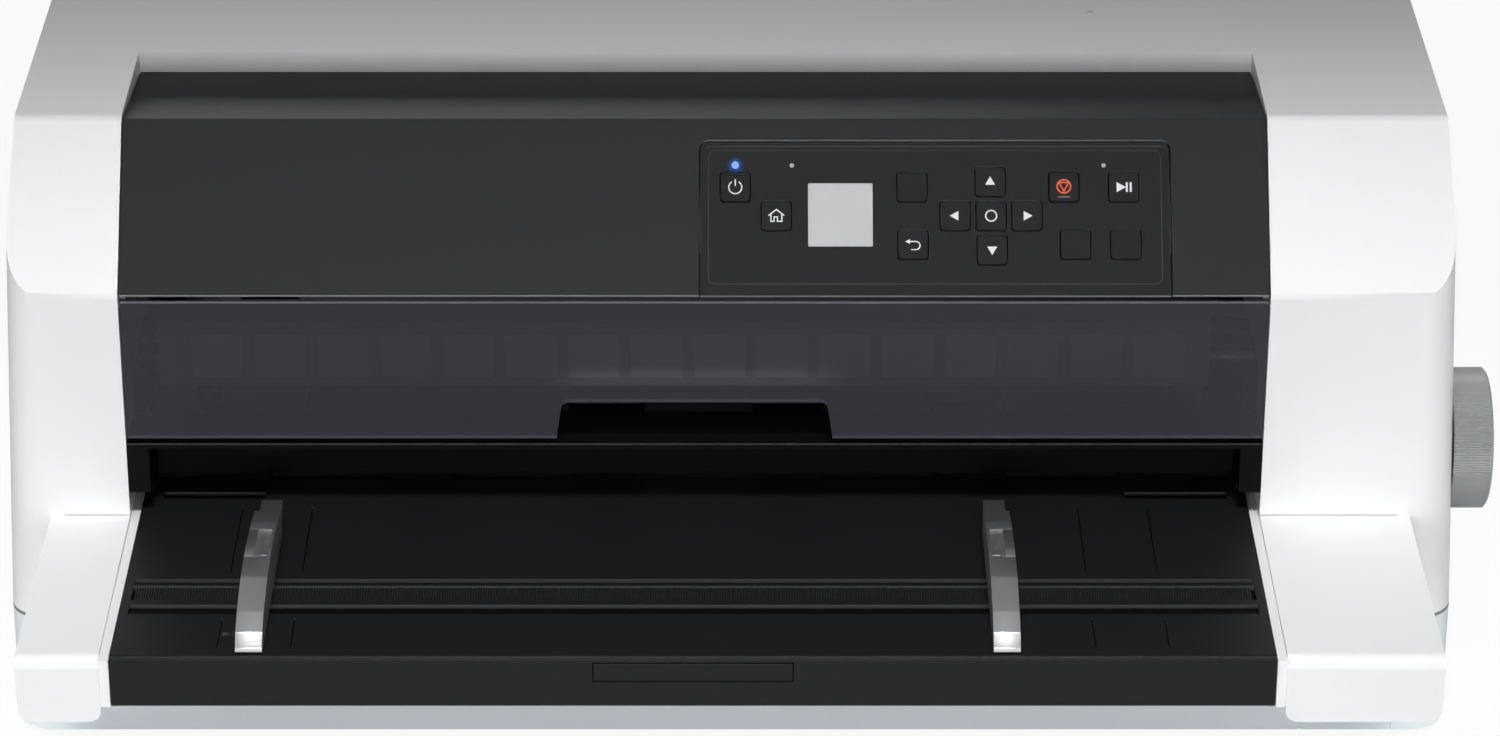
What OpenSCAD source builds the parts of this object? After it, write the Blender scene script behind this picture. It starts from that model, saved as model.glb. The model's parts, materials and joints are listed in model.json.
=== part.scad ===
// Wide flat-bed dot matrix printer: housing with two cheeks, hinged covers, feed table with
// sliding edge guides, control panel, print carriage and paper feed.
// Sizes are in millimetres. X runs to the right, Y to the back, Z up. Places are measured from the
// middle of the housing, the front plane of its cheeks and the floor; placed() then moves the
// whole printer so that the origin is the bottom centre of its bounding box.

/* [Housing] */
// Width of the base and of the housing at the parting line
body_w = 626.6; // [620:0.2:640]
// Width of the housing at its top
top_w = 606.4; // [596:0.2:616]
// Height of the printer
body_h = 275.4; // [272:0.2:290]
// Depth from the cheek fronts to the back wall
body_d = 278; // [274:1:310]
// Height of the parting line between base and housing
base_h = 59.4; // [56:0.2:64]
// Wall thickness of the mouldings
wall = 2.5; // [2.2:0.1:2.8]
// Drop of the inclined front facet
facet_drop = 61.9; // [60:0.1:64]
// Run of the inclined front facet
facet_run = 47.4; // [46:0.1:49]
// Radius of the front corners in plan
front_corner_r = 16; // [12:1:20]
// Radius of the back corners in plan
rear_corner_r = 22; // [18:1:26]
// Depth of the flat top
top_flat = 132.6; // [128:0.2:140]
// Height of the upright back wall
rear_wall_h = 215; // [210:1:222]
// Height of the rubber feet
foot_h = 3; // [2:0.5:5]

/* [Cover and window] */
// Width of the left cheek beside the opening
left_cheek_w = 55.4; // [53:0.1:57]
// Width of the right cheek, over the feed gears
right_cheek_w = 86.4; // [85:0.1:88]
// Back wall of the opening in the top
recess_y = 117.4; // [117:0.1:120]
// Depth of the step behind the cover
recess_drop = 8.5; // [7:0.5:9.5]
// Gap between the cover and the cheeks
cover_gap = 0.6; // [0.4:0.1:1]
// Gap behind the cover's back edge
cover_back_gap = 1.9; // [1.8:0.1:2.5]
// Radius of the cover's hinge pegs
cover_peg_r = 3; // [2.5:0.1:3.4]
// Gap between the smoked window and the inclined front
window_gap = 3.3; // [3:0.1:5]
// Lower edge of the smoked window
window_bottom = 146.4; // [145.6:0.1:148]
// Thickness of the window
window_t = 3; // [2.6:0.1:3.4]
// Width of the finger notch at the window's lower edge
notch_w = 117.6; // [100:0.2:130]
// Height of the finger notch
notch_h = 17.2; // [14:0.2:20]

/* [Feed table] */
// Top of the feed table and of the paper path
table_top = 110.1; // [109:0.1:111]
// Reach of the table in front of the cheeks
table_reach = 123.7; // [120:0.1:135]
// Height of the table's front wall
table_front_h = 23.8; // [22:0.2:26]
// Thickness of the table plate
table_t = 3; // [2.8:0.1:3.4]
// Width of the step between the cheeks and the table
ledge_w = 4.4; // [4:0.1:5]
// Pitch of the teeth in the guide rack
rack_pitch = 1.07; // [1:0.01:1.6]
// Width of an edge guide
guide_w = 11; // [10:0.5:13]
// Height of an edge guide above the table
guide_h = 18.5; // [17:0.5:20]
// Distance between the edge guides as they stand
sheet_w = 298; // [210:1:300]
// Width of the pull-out sheet support
support_w = 81.6; // [70:0.2:90]

/* [Control panel] */
// Distance between the control panel and the right cheek
panel_side = 41.9; // [38:0.1:46]
// Width of the control panel
panel_w = 197.9; // [196:0.1:200]
// Length of the control panel up the slope
panel_len = 66.5; // [66:0.1:67]
// Width of a square button
button_w = 12.3; // [11.5:0.1:12.5]
// Gap round a button
button_gap = 0.5; // [0.3:0.1:0.6]
// Width of the display
display_w = 27.3; // [25:0.1:29]

/* [Mechanism] */
// Radius of the rubber feed rollers
roller_r = 10; // [9.5:0.1:10.4]
// Radius of the feed roller shafts
shaft_r = 4; // [3.6:0.1:4.4]
// Radius of the carriage rail
rail_r = 6; // [5.5:0.1:6.5]
// Clearance between a running shaft and its bore
run_gap = 0.05; // [0.03:0.01:0.08]
// Gear module
gear_m = 1; // [1:0.05:1.1]
// Teeth of the feed roller gears
roller_teeth = 24; // [24:1:24]
// Teeth of the knob gear
knob_teeth = 18; // [18:1:18]
// Teeth of the motor pinion
pinion_teeth = 12; // [12:1:12]
// Radius of the paper feed knob
knob_r = 30.8; // [28:0.1:33]
// Reach of the knob beyond the housing's side
knob_reach = 16.7; // [14:0.1:20]
// Ribs round the knob
knob_ribs = 168; // [120:1:180]
// Radius of the belt pulleys
pulley_r = 7; // [6.5:0.1:7.4]
// Width of the carriage belt
belt_w = 6; // [5:0.5:6]

/* [Hidden] */
$fn = 48;

over = 1;                 // how far a cutting shape runs past what it cuts
touch = 0.3;              // least gap between parts that move past each other
taper = (body_w - top_w) / 2 / (body_h - base_h);
arc_steps = 8;

// front facet, cover and panel
facet_low = body_h - facet_drop;
slope_a = atan2(facet_drop, facet_run);
slope_len = norm([facet_drop, facet_run]);
rear_flat_y = facet_run + top_flat;
rear_slope_a = atan2(body_h - rear_wall_h, body_d - rear_flat_y);
left_edge = left_cheek_w - body_w / 2;
right_edge = body_w / 2 - right_cheek_w;
opening_w = right_edge - left_edge;
front_gap = 0.2;          // how far the cover and the window stand behind the cheek fronts
cover_low = [front_gap, facet_low + 0.4];
crease = cover_low + (slope_len - 1.6) * [cos(slope_a), sin(slope_a)];
cover_back = [recess_y - cover_back_gap, body_h - recess_drop];
cover_pivot = cover_back - [5, 4.2];
cover_skirt = 8;
cover_rib = [2, 5];       // thickness and depth of the ribs under the cover
slope_out = [-sin(slope_a), cos(slope_a)];
top_dir = (cover_back - crease) / norm(cover_back - crease);
top_in = [top_dir[1], -top_dir[0]];

// window
window_y = 0.3;
window_top = facet_low - window_gap;
window_peg_r = window_t / 2 - 0.1;
window_pivot = [window_y + window_t / 2, window_top - 2.7];
window_mid = (left_edge + right_edge) / 2;

// table and guides
table_left = left_edge + ledge_w;
table_right = right_edge - ledge_w;
table_w = table_right - table_left;
table_low = table_top - table_front_h;
table_back = 32;
plate_low = table_top - table_t;
front_groove = [-88, -80];
rack_groove = [-76, -64];
back_groove = [-62, -58];
groove_depth = 1.8;
rack_depth = 2.2;
guide_front = -(table_reach - 1.7);
guide_back = -1;
left_guide_x = left_edge + 55.9;
right_guide_x = left_guide_x + guide_w + sheet_w;
catch_y = [-72, -45];     // finger slot and catch of an edge guide
slot_low = table_top + 5.2;
post_low = table_top + 9.9;
support_h = 11.4;
support_len = 104;
support_plate = 4;
arm_top = table_top - 0.8;
arm_low = 79.7;
arm_front = -(table_reach + 0.3);
arm_left = [21.3 - body_w / 2, left_edge];
arm_right = [right_edge, body_w / 2 - 22.1];
arm_r = 5.5;
step_drop = 1.4;          // drop of the step beside the table below an arm's top
step_gap = 0.4;

// control panel
panel_t = 3;
panel_r = 3.5;
tray_z = -12;
tray_t = 3;
panel_left = right_edge - panel_side - panel_w;
// place on the panel: share of its width from the left, and height up the slope
function on_panel(share, up) = [panel_left + share * panel_w, up];
display_at = on_panel(0.2981, 34.8);
cap_rise = 0.4;
cap_depth = 6;
cap_r = 1.2;
flange = [14, 1.2];       // height and thickness of a button's retaining flange
buttons = [on_panel(0.0743, 46.7), on_panel(0.1617, 34.3), on_panel(0.4507, 46.7),
    on_panel(0.4523, 21.9), on_panel(0.5422, 34.3), on_panel(0.619, 34.3), on_panel(0.6953, 34.3),
    on_panel(0.6175, 49.1), on_panel(0.6205, 19.6), on_panel(0.7746, 46.7), on_panel(0.902, 46.7),
    on_panel(0.7979, 21.9), on_panel(0.905, 21.9)];
ringed = [0, 9];
lamp_at = [on_panel(0.0743, 56.3), on_panel(0.195, 56.2), on_panel(0.86, 56.2)];
lamp_r = [1.5, 0.9, 0.9];
bar_up = [3, 20];         // front crossbar, from and to, up the slope

// paper path and mechanism
roller_z = table_top + 0.3 - roller_r;
front_roller_y = 45;
gear_r = gear_m * roller_teeth / 2;
idler_teeth = 35;
idler_r = gear_m * idler_teeth / 2;
knob_gear_r = gear_m * knob_teeth / 2;
pinion_r = gear_m * pinion_teeth / 2;
rear_roller_y = front_roller_y + 2 * (gear_r + idler_r);
idler_y = front_roller_y + gear_r + idler_r;
knob_dir = 61.47;
knob_y = front_roller_y + (gear_r + knob_gear_r) * cos(knob_dir);
knob_z = roller_z + (gear_r + knob_gear_r) * sin(knob_dir);
pinion_z = roller_z - idler_r - pinion_r;
pinch_r = 5;
pinch_shaft_r = 2;
pinch_z = roller_z + roller_r + touch + pinch_r;
roller_len = 30;
roller_side = 42;
roller_x = [for (i = [0:5]) left_edge + roller_side + i * (opening_w - 2 * roller_side) / 5];
plate_t = 2;
left_plate_x = left_edge - 6.1;
right_plate_x = right_edge + 5.1;
plate_front = 28;
plate_back = 125;
plate_top = 146;
pan_z = 10;
pan_t = 1.5;
bush_r = 6;
bush_flange = [8, 1.5];
gear_x = right_plate_x + plate_t + 2;
gear_t = 6;
gear_step = 8;
rail_y = 100;
rail_z = 137;
bed_front = 57;
bed_bar_back = 92;
bed_t = 4;
stud_r = 2;
carriage_x = left_edge + 52.9;
carriage_w = 50;
head_w = 36;
belt_z = 152;
belt_t = 1.2;
drive_x = left_edge - 26.1;
idler_x = right_edge + 23.1;
motor_r = 18;
motor_len = 36;
side_pass_z = 164;
cartridge_x = [left_edge + 11.9, right_edge - 20.9];
cartridge_y = [34, 57];
cartridge_z = [153.6, 183.9];
cartridge_leg = 13;
knob_end = body_w / 2 + knob_reach;
knob_shaft_r = 3;
knob_hub_r = 8;
knob_cap = 8;

// back, base and fasteners
rear_cover_x = [left_edge + 57.9, right_edge - 56.9];
rear_cover_len = 88;
rear_cover_top = 11;
rear_gap = 0.8;
rear_peg_r = 1.5;
rear_pivot = [13, -3.5];
inlet_at = [body_w / 2 - 81.3, 34];
inlet_size = [28, 21];
ports_at = [137.3 - body_w / 2, 34];
ports_size = [96, 22];
side_x = body_w / 2 - 43.3;
standoffs = [for (x = [-side_x, 0, side_x]) for (y = [40, body_d - 38]) [x, y]];
screw_x = [body_w / 2 - 15.3, body_w / 2 - 17.3];
screw_at = [[-screw_x[0], 34], [screw_x[0], 34], [-screw_x[1], body_d - 30], [screw_x[1], body_d - 30]];
screw_head = [3.2, 3];
screw_seat = 39;
boss_r = 5;
pan_half = body_w / 2 - 23.3;
pan_y = [14, body_d - 14];
supply_y = [body_d - 128, body_d - 16];
board_y = [body_d - 138, body_d - 20];

// moves the printer so that the origin is the bottom centre of its box
module placed() {
    x_shift = (body_w / 2 - knob_end) / 2;
    y_shift = -(body_d + arm_front) / 2;
    translate([x_shift, y_shift, 0]) children();
}

// sweeps a side view, drawn in Y and Z, along X
module along_x(x0, x1) {
    translate([x0, 0, 0]) rotate([90, 0, 90]) linear_extrude(x1 - x0) children();
}

// sweeps a front view, drawn in X and Z, along Y
module along_y(y0, y1) {
    translate([0, y1, 0]) rotate([90, 0, 0]) linear_extrude(y1 - y0) children();
}

// box from its low corner to its high corner
module block(low, high) {
    translate(low) cube(high - low);
}

// cylinder along X
module rod_x(x0, x1, r, y, z) {
    translate([x0, y, z]) rotate([0, 90, 0]) cylinder(h = x1 - x0, r = r);
}

// children drawn in the plane of the inclined front: X across, Y up the slope, Z outwards
module on_slope() {
    translate([0, cover_low[0], cover_low[1]]) rotate([slope_a, 0, 0]) children();
}

// children drawn in the plane of the sloping back: Y down the slope, Z outwards
module on_rear_slope() {
    translate([0, rear_flat_y, body_h]) rotate([-rear_slope_a, 0, 0]) children();
}

// points of a rounded corner
function corner(c, r, start) =
    [for (i = [0:arc_steps]) c + r * [cos(start + 90 * i / arc_steps), sin(start + 90 * i / arc_steps)]];

// plan of the housing, drawn in by a distance
module plan(half, inset) {
    rf = front_corner_r - inset;
    rr = rear_corner_r - inset;
    x = half - inset;
    y0 = inset;
    y1 = body_d - inset;
    polygon(concat(corner([rf - x, y0 + rf], rf, 180), corner([x - rf, y0 + rf], rf, 270),
        corner([x - rr, y1 - rr], rr, 0), corner([rr - x, y1 - rr], rr, 90)));
}

// rectangle with round corners
module round_rect(w, h, r) {
    offset(r, $fn = 16) offset(-r) square([w, h], center = true);
}

function half_at(z) = body_w / 2 - taper * (z - base_h);

// side view of the housing above the parting line
module side_view(low) {
    offset(5, $fn = 32) offset(-5)
        polygon([[0, low - 10], [0, facet_low], [facet_run, body_h], [rear_flat_y, body_h],
            [body_d, rear_wall_h], [body_d, low - 10]]);
}

// tapered block of the housing, drawn in by a distance
module housing_block(low, inset) {
    w = half_at(low);
    intersection() {
        translate([0, 0, low])
            linear_extrude(body_h + over - low,
                scale = [(half_at(body_h + over) - inset) / (w - inset), 1], slices = 1) plan(w, inset);
        along_x(-body_w, body_w) offset(delta = -inset) side_view(low);
    }
}

// side view of a cheek's inner wall: full height in front, open low down for the mechanism
module cheek_wall_view() {
    intersection() {
        side_view(base_h);
        union() {
            translate([0, plate_low - table_front_h / 2]) square([table_back, body_h]);
            translate([0, side_pass_z]) square([recess_y + wall, body_h]);
        }
    }
}

module at_cover_pivot(x0, x1, r) {
    rod_x(x0, x1, r, cover_pivot[0], cover_pivot[1]);
}

module upper_housing() {
    color("whitesmoke") difference() {
        union() {
            difference() {
                housing_block(base_h, 0);
                housing_block(base_h - over, wall);
                // opening between the cheeks, in front and on top
                block([left_edge, -over, plate_low], [right_edge, recess_y, body_h + over]);
            }
            along_x(left_edge - wall, left_edge) cheek_wall_view();
            along_x(right_edge, right_edge + wall) cheek_wall_view();
            // back wall of the cover opening
            block([left_edge - wall, recess_y, side_pass_z - wall],
                [right_edge + wall, recess_y + wall, body_h - over]);
            // ledges beside the table, behind the cheek fronts
            block([left_edge - over, 0, plate_low - 8], [table_left, table_back, arm_top - step_drop]);
            block([table_right, 0, plate_low - 8], [right_edge + over, table_back, arm_top - step_drop]);
            // hinge bosses of the cover
            at_cover_pivot(left_edge - 8, left_edge - wall / 2, cover_peg_r + wall);
            at_cover_pivot(right_edge + wall / 2, right_edge + 8, cover_peg_r + wall);
            // lugs of the rear cover's hinge
            for (x = [rear_cover_x[0] - 7, rear_cover_x[1] + 1])
                on_rear_slope() block([x, 9, -8], [x + 6, 18, -wall / 2]);
            // screw bosses, each on a web to the side wall
            for (p = screw_at) {
                web_end = sign(p[0]) * (body_w / 2 - 0.9 * wall);
                translate([p[0], p[1], base_h]) cylinder(h = 24, r = boss_r);
                block([min(p[0], web_end), p[1] - 1, base_h], [max(p[0], web_end), p[1] + 1, base_h + 20]);
            }
        }
        for (p = screw_at) translate([p[0], p[1], base_h - over]) cylinder(h = 20, r = 1.6);
        at_cover_pivot(left_edge - 6, left_edge + over, cover_peg_r + run_gap);
        at_cover_pivot(right_edge - over, right_edge + 6, cover_peg_r + run_gap);
        for (x = [left_edge - wall - over, right_edge - over])
            rod_x(x, x + wall + 2 * over, window_peg_r + run_gap, window_pivot[0], window_pivot[1]);
        // knob hub hole in the right side
        rod_x(right_edge + 60, body_w / 2 + over, knob_hub_r + over, knob_y, knob_z);
        // rear cover opening and its hinge bores
        on_rear_slope() {
            block([rear_cover_x[0] - rear_gap, rear_cover_top - 2.8, -wall - over],
                [rear_cover_x[1] + rear_gap, rear_cover_top + rear_cover_len + rear_gap, over]);
            rod_x(rear_cover_x[0] - 5, rear_cover_x[1] + 5, rear_peg_r + run_gap, rear_pivot[0],
                rear_pivot[1]);
        }
        // paper slot in the back wall
        block([table_left, body_d - wall - over, table_top], [table_right, body_d + over, table_top + 9]);
    }
}

// flap in the sloping back, over the rear of the paper path
module rear_cover() {
    rib_step = (rear_cover_x[1] - rear_cover_x[0]) / 5;
    rib = 6;
    end = rear_cover_top + rear_cover_len;
    color("whitesmoke") on_rear_slope() difference() {
        union() {
            block([rear_cover_x[0], rear_cover_top, -wall], [rear_cover_x[1], end, 0]);
            for (x = [rear_cover_x[0] + 0.4, rear_cover_x[1] - 0.4 - rib])
                block([x, rear_cover_top + 0.2, -rib], [x + rib, 16, -wall / 2]);
            rod_x(rear_cover_x[0] - 4, rear_cover_x[0] + 3, rear_peg_r, rear_pivot[0], rear_pivot[1]);
            rod_x(rear_cover_x[1] - 3, rear_cover_x[1] + 4, rear_peg_r, rear_pivot[0], rear_pivot[1]);
            // stiffening ribs under the flap
            for (i = [1:4]) {
                x = rear_cover_x[0] + i * rib_step;
                block([x - 1, rear_cover_top + rib + 5, -rib], [x + 1, end - rib - 1, -wall / 2]);
            }
        }
        // finger scoop at the free edge
        translate([window_mid, end, 14]) sphere(r = 15.4);
    }
}

// base tray with standoffs for the chassis and openings for the connectors
module base_tray() {
    color("lightsteelblue") difference() {
        union() {
            difference() {
                translate([0, 0, foot_h]) linear_extrude(base_h - foot_h) plan(body_w / 2, 0);
                translate([0, 0, foot_h + wall]) linear_extrude(base_h) plan(body_w / 2, wall);
            }
            for (p = standoffs)
                translate([p[0], p[1], foot_h + wall / 2])
                    cylinder(h = pan_z - foot_h - wall / 2, r = boss_r);
            for (p = screw_at) translate([p[0], p[1], foot_h + wall / 2])
                cylinder(h = base_h - foot_h - wall / 2, r = boss_r);
        }
        for (p = screw_at) {
            translate([p[0], p[1], foot_h - over]) cylinder(h = base_h, r = 1.8);
            translate([p[0], p[1], foot_h - over]) cylinder(h = screw_seat + over, r = screw_head[0] + touch);
        }
        // connector openings
        block([inlet_at[0] - inlet_size[0] / 2, body_d - wall - over, inlet_at[1] - inlet_size[1] / 2],
            [inlet_at[0] + inlet_size[0] / 2, body_d + over, inlet_at[1] + inlet_size[1] / 2]);
        block([ports_at[0] - ports_size[0] / 2, body_d - wall - over, ports_at[1] - ports_size[1] / 2],
            [ports_at[0] + ports_size[0] / 2, body_d + over, ports_at[1] + ports_size[1] / 2]);
        // vents behind the power supply
        for (i = [0:15])
            block([40 + i * 8, body_d - wall - over, 22], [44 + i * 8, body_d + over, 46]);
        // part line steps under the right arm
        for (x = [right_edge + 22.1, right_edge + 62.1])
            block([x - 0.3, -over, foot_h - over], [x + 0.3, 0.8, base_h]);
    }
}

module feet() {
    color("dimgray") for (x = [-side_x, side_x]) for (y = [30, body_d - 32])
        translate([x, y, 0]) rotate_extrude()
            polygon([[0, 0], [10, 0], [11, 1], [12, foot_h], [0, foot_h]]);
}

// pan-head screws from below into the housing
module housing_screws() {
    color("silver") for (p = screw_at) translate([p[0], p[1], 0]) difference() {
        union() {
            translate([0, 0, foot_h + screw_seat - screw_head[1]])
                cylinder(h = screw_head[1], r = screw_head[0]);
            translate([0, 0, foot_h + screw_seat - over])
                cylinder(h = base_h - foot_h - screw_seat + over + 16, r = 1.5);
        }
        for (a = [0, 90]) rotate([0, 0, a])
            translate([-2, -0.4, foot_h + screw_seat - screw_head[1] - over]) cube([4, 0.8, over + 1.4]);
    }
}

// arm beside the feed table: a shell that is open below and behind
module arm(x0, x1, outer) {
    shell_low = arm_low - 3 * arm_r;
    cut = arm_front + wall + 4;
    step_top = arm_top - step_drop;
    difference() {
        intersection() {
            along_x(x0, x1) offset(arm_r, $fn = 32) offset(-arm_r)
                polygon([[arm_front, arm_low - 2 * arm_r], [arm_front, arm_top], [3 * arm_r, arm_top],
                    [3 * arm_r, arm_low - 2 * arm_r]]);
            along_y(arm_front - over, 0) offset(arm_r, $fn = 32) offset(-arm_r)
                polygon([[x0, arm_low], [x0, arm_top + 2 * arm_r], [x1, arm_top + 2 * arm_r], [x1, arm_low]]);
        }
        translate([0, wall, -wall]) intersection() {
            along_x(x0 + wall, x1 - wall) offset(arm_r - wall, $fn = 32) offset(wall - arm_r)
                polygon([[arm_front, shell_low], [arm_front, arm_top], [4 * arm_r, arm_top],
                    [4 * arm_r, shell_low]]);
            block([x0, arm_front, shell_low], [x1, 4 * arm_r, arm_top]);
        }
        // the side at the table ends higher
        if (outer < 0)
            block([x1 - arm_r, cut, arm_low - over], [x1 + over, over, table_low]);
        else
            block([x0 - over, cut, arm_low - over], [x0 + arm_r, over, table_low]);
    }
    // step beside the table
    if (outer < 0)
        block([x1 - over, arm_front + 2 * step_gap, table_low], [x1 + ledge_w - step_gap, 0, step_top]);
    else
        block([x0 - ledge_w + step_gap, arm_front + 2 * step_gap, table_low], [x0 + over, 0, step_top]);
    // stiffening ribs
    for (i = [1:3])
        block([x0 + wall / 2, i * arm_front / 4 - 0.8, arm_top - 18],
            [x1 - wall / 2, i * arm_front / 4 + 0.8, arm_top - wall / 2]);
}

module left_arm() {
    color("whitesmoke") arm(arm_left[0], arm_left[1], -1);
}

module right_arm() {
    color("whitesmoke") arm(arm_right[0], arm_right[1], 1);
}

// feed table: plate with grooves for the edge guides, front wall, side walls and ribs
module feed_table() {
    r = 2;
    front = -table_reach;
    color("#26282a") difference() {
        union() {
            intersection() {
                along_x(table_left, table_right) union() {
                    translate([front, plate_low]) square([table_back - front, table_t]);
                    translate([front, table_low]) square([wall, table_front_h]);
                }
                along_x(table_left, table_right) offset(r, $fn = 24) offset(-r)
                    polygon([[front, table_low], [front, table_top], [table_back + 9, table_top],
                        [table_back + 9, table_low]]);
                block([table_left, front - over, 0], [table_right, table_back, table_top + over]);
            }
            for (x = [table_left, table_right - wall])
                block([x, front + wall / 2, table_low], [x + wall, 0, plate_low + over]);
            for (i = [1:7]) {
                x = table_left + i * table_w / 8;
                if (abs(x - window_mid) > support_w / 2 + 3)
                    block([x - 0.8, front + wall / 2, plate_low - 15], [x + 0.8, 0, plate_low + over]);
            }
            // runners that carry the pull-out support
            for (s = [-1, 1]) translate([window_mid, 0, 0]) {
                x = s * (support_w / 2 + 2);
                low = table_top - support_h - 2;
                block([x - 1.5, front + wall / 2, low], [x + 1.5, 0, plate_low + over]);
                block([min(x, x - s * 6), front + wall / 2, low],
                    [max(x, x - s * 6), 0, table_top - support_h]);
            }
        }
        // grooves for the guides and pocket for the rack
        for (g = [front_groove, back_groove])
            block([table_left + 4, g[0], table_top - groove_depth],
                [table_right - 4, g[1], table_top + over]);
        block([table_left + 4, rack_groove[0], table_top - rack_depth],
            [table_right - 4, rack_groove[1], table_top + over]);
        // shallow slots at the back
        for (x = [table_left + 8.5, table_right - 52.5])
            block([x, 14, table_top - 1.5], [x + 44, 20, table_top + over]);
        // engraved paper width lines
        for (s = [-1, 1]) for (d = [164.5, 194.5]) {
            x = window_mid + s * d;
            block([x - 0.3, front + 8, table_top - 0.4], [x + 0.3, front_groove[0] - 4, table_top + over]);
            block([x - 0.3, back_groove[1] + 6, table_top - 0.4], [x + 0.3, 6, table_top + over]);
        }
        // mouth of the pull-out support
        translate([window_mid - support_w / 2 - 0.3, front - over, table_top - support_h - 0.3])
            cube([support_w + 0.6, wall + 2 * over, support_h - table_t + 0.3 + touch]);
    }
}

// pull-out sheet support in the table's front
module sheet_support() {
    front = -table_reach;
    low = table_top - support_h;
    color("#222426") translate([window_mid, 0, 0]) {
        block([-support_w / 2, front, low], [support_w / 2, front + wall, plate_low - touch]);
        difference() {
            block([-support_w / 2, front + wall - over, low],
                [support_w / 2, front + support_len, low + support_plate]);
            for (i = [-1:1])
                block([i * 25 - 8, front + 16, low - over],
                    [i * 25 + 8, front + 88, low + support_plate + over]);
        }
    }
}

// finely toothed rack that the edge guides catch in
module guide_rack() {
    n = floor((table_w - 10) / rack_pitch);
    low = table_top - rack_depth;
    x0 = table_left + 5;
    color("#1b1c1e") along_y(rack_groove[0] + touch, rack_groove[1] - touch)
        polygon(concat([[x0, low]], [[x0 + n * rack_pitch, low]],
            [for (i = [n:-1:1]) each [[x0 + i * rack_pitch, low + 1],
                [x0 + (i - 0.35) * rack_pitch, low + 1.8],
                [x0 + (i - 0.65) * rack_pitch, low + 1.8]]], [[x0, low + 1]]));
}

// arched edge guide with a finger slot; side is -1 for the left one and 1 for the right one
module edge_guide(x0, side) {
    y0 = guide_front;
    z0 = table_top + touch;
    outer = side < 0 ? x0 : x0 + guide_w;
    difference() {
        union() {
            along_x(x0, x0 + guide_w) offset(1.5, $fn = 32) offset(-1.5)
                offset(-8, $fn = 40) offset(8)
                polygon([[y0, z0], [y0, z0 + 3], [y0 + 4, z0 + 8], [y0 + 14, z0 + 12.4],
                    [y0 + 34, z0 + guide_h - 1.2], [y0 + 57, z0 + guide_h], [y0 + 86, z0 + guide_h - 3],
                    [y0 + 101, z0 + guide_h - 6], [y0 + 104, z0 + guide_h - 9], [y0 + 104, z0]]);
            block([x0 + 1, y0 + 98, z0], [x0 + guide_w - 1, guide_back, z0 + 7]);
            // tongue in the table's front groove
            block([x0 + 0.5, front_groove[0] + touch, table_top - groove_depth],
                [x0 + guide_w - 0.5, front_groove[1] - touch, z0 + 2]);
        }
        // finger slot beside the catch
        block([outer - side * 4 - (side > 0 ? 5.5 : 0), catch_y[0], z0 + 4],
            [outer - side * 4 + (side > 0 ? 0 : 5.5), catch_y[1], z0 + 40]);
        // seams round the catch
        for (y = catch_y)
            block([min(outer - side * 5, outer + side), y - 0.3, z0 + guide_h - 6],
                [max(outer - side * 5, outer + side), y + 0.3, z0 + 40]);
    }
}

module left_edge_guide() {
    color("gray") edge_guide(left_guide_x, -1);
}

module right_edge_guide() {
    color("gray") edge_guide(right_guide_x, 1);
}

// black throat round the paper slot, with the wall above the slot
module slot_frame() {
    top = window_bottom - 2.7;
    post = 9.5;
    front = 2 * window_y;
    back = table_back - 0.5;
    color("#0c0c0d") difference() {
        along_x(left_edge, right_edge) offset(0.8, $fn = 24) offset(-0.8)
            polygon([[front, post_low], [front, top], [back, top], [back, slot_low], [12, slot_low],
                [12, post_low]]);
        block([left_edge + post, -over, 0], [right_edge - post, back - wall, top - wall]);
    }
}

// bar between the cheeks that carries the control panel and its tray
module front_crossbar() {
    x0 = panel_left + 2;
    x1 = panel_left + panel_w - 2;
    color("#202224") on_slope() {
        difference() {
            union() {
                block([left_edge, bar_up[0], tray_z], [right_edge, bar_up[1], tray_z + tray_t]);
                block([x0, bar_up[0], tray_z], [x1, panel_len - 2, -panel_t]);
            }
            block([x0 + wall, bar_up[0] + wall, tray_z + tray_t], [x1 - wall, panel_len - 2 - wall, over]);
        }
        // ribs across the bar's free length
        for (i = [1:3]) {
            x = left_edge + i * (panel_left - left_edge) / 4;
            block([x, bar_up[0] + 1, tray_z + tray_t - over], [x + 2, bar_up[1] - 1, tray_z + tray_t + 4]);
        }
    }
}

// outline of the control panel: round at its two upper corners
module panel_outline(grow) {
    w = panel_w + 2 * grow;
    translate([panel_left + panel_w / 2, 0]) intersection() {
        translate([0, panel_len / 2 - 10 + grow / 2]) round_rect(w, panel_len + 20 + grow, panel_r + grow);
        translate([-w / 2, -20]) square([w, panel_len + 20 + grow]);
    }
}

module control_panel() {
    color("#1c1e20") on_slope() difference() {
        translate([0, 0, -panel_t]) linear_extrude(panel_t) intersection() {
            panel_outline(0);
            translate([panel_left - over, 0]) square([panel_w + 2 * over, panel_len + over]);
        }
        for (b = buttons)
            translate([b[0], b[1], -panel_t - over]) linear_extrude(panel_t + 2 * over)
                round_rect(button_w + 2 * button_gap, button_w + 2 * button_gap, cap_r + button_gap);
        translate([display_at[0], display_at[1], -panel_t - over]) linear_extrude(panel_t + 2 * over)
            round_rect(display_w, display_w, 0.5);
        for (i = [0:2])
            translate([lamp_at[i][0], lamp_at[i][1], -panel_t - over])
                cylinder(h = panel_t + 2 * over, r = lamp_r[i] + run_gap);
        // shallow outline near the edge
        translate([0, 0, -0.3]) linear_extrude(over) difference() {
            offset(-2) panel_outline(0);
            offset(-2.5) panel_outline(0);
        }
    }
}

module display() {
    color("gainsboro") on_slope() {
        translate([display_at[0], display_at[1], -2.4]) linear_extrude(2.2)
            round_rect(display_w - 0.1, display_w - 0.1, 0.5);
        translate([display_at[0], display_at[1], tray_z + tray_t])
            linear_extrude(-tray_z - tray_t - 2.4) square(display_w - 4, center = true);
    }
}

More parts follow.
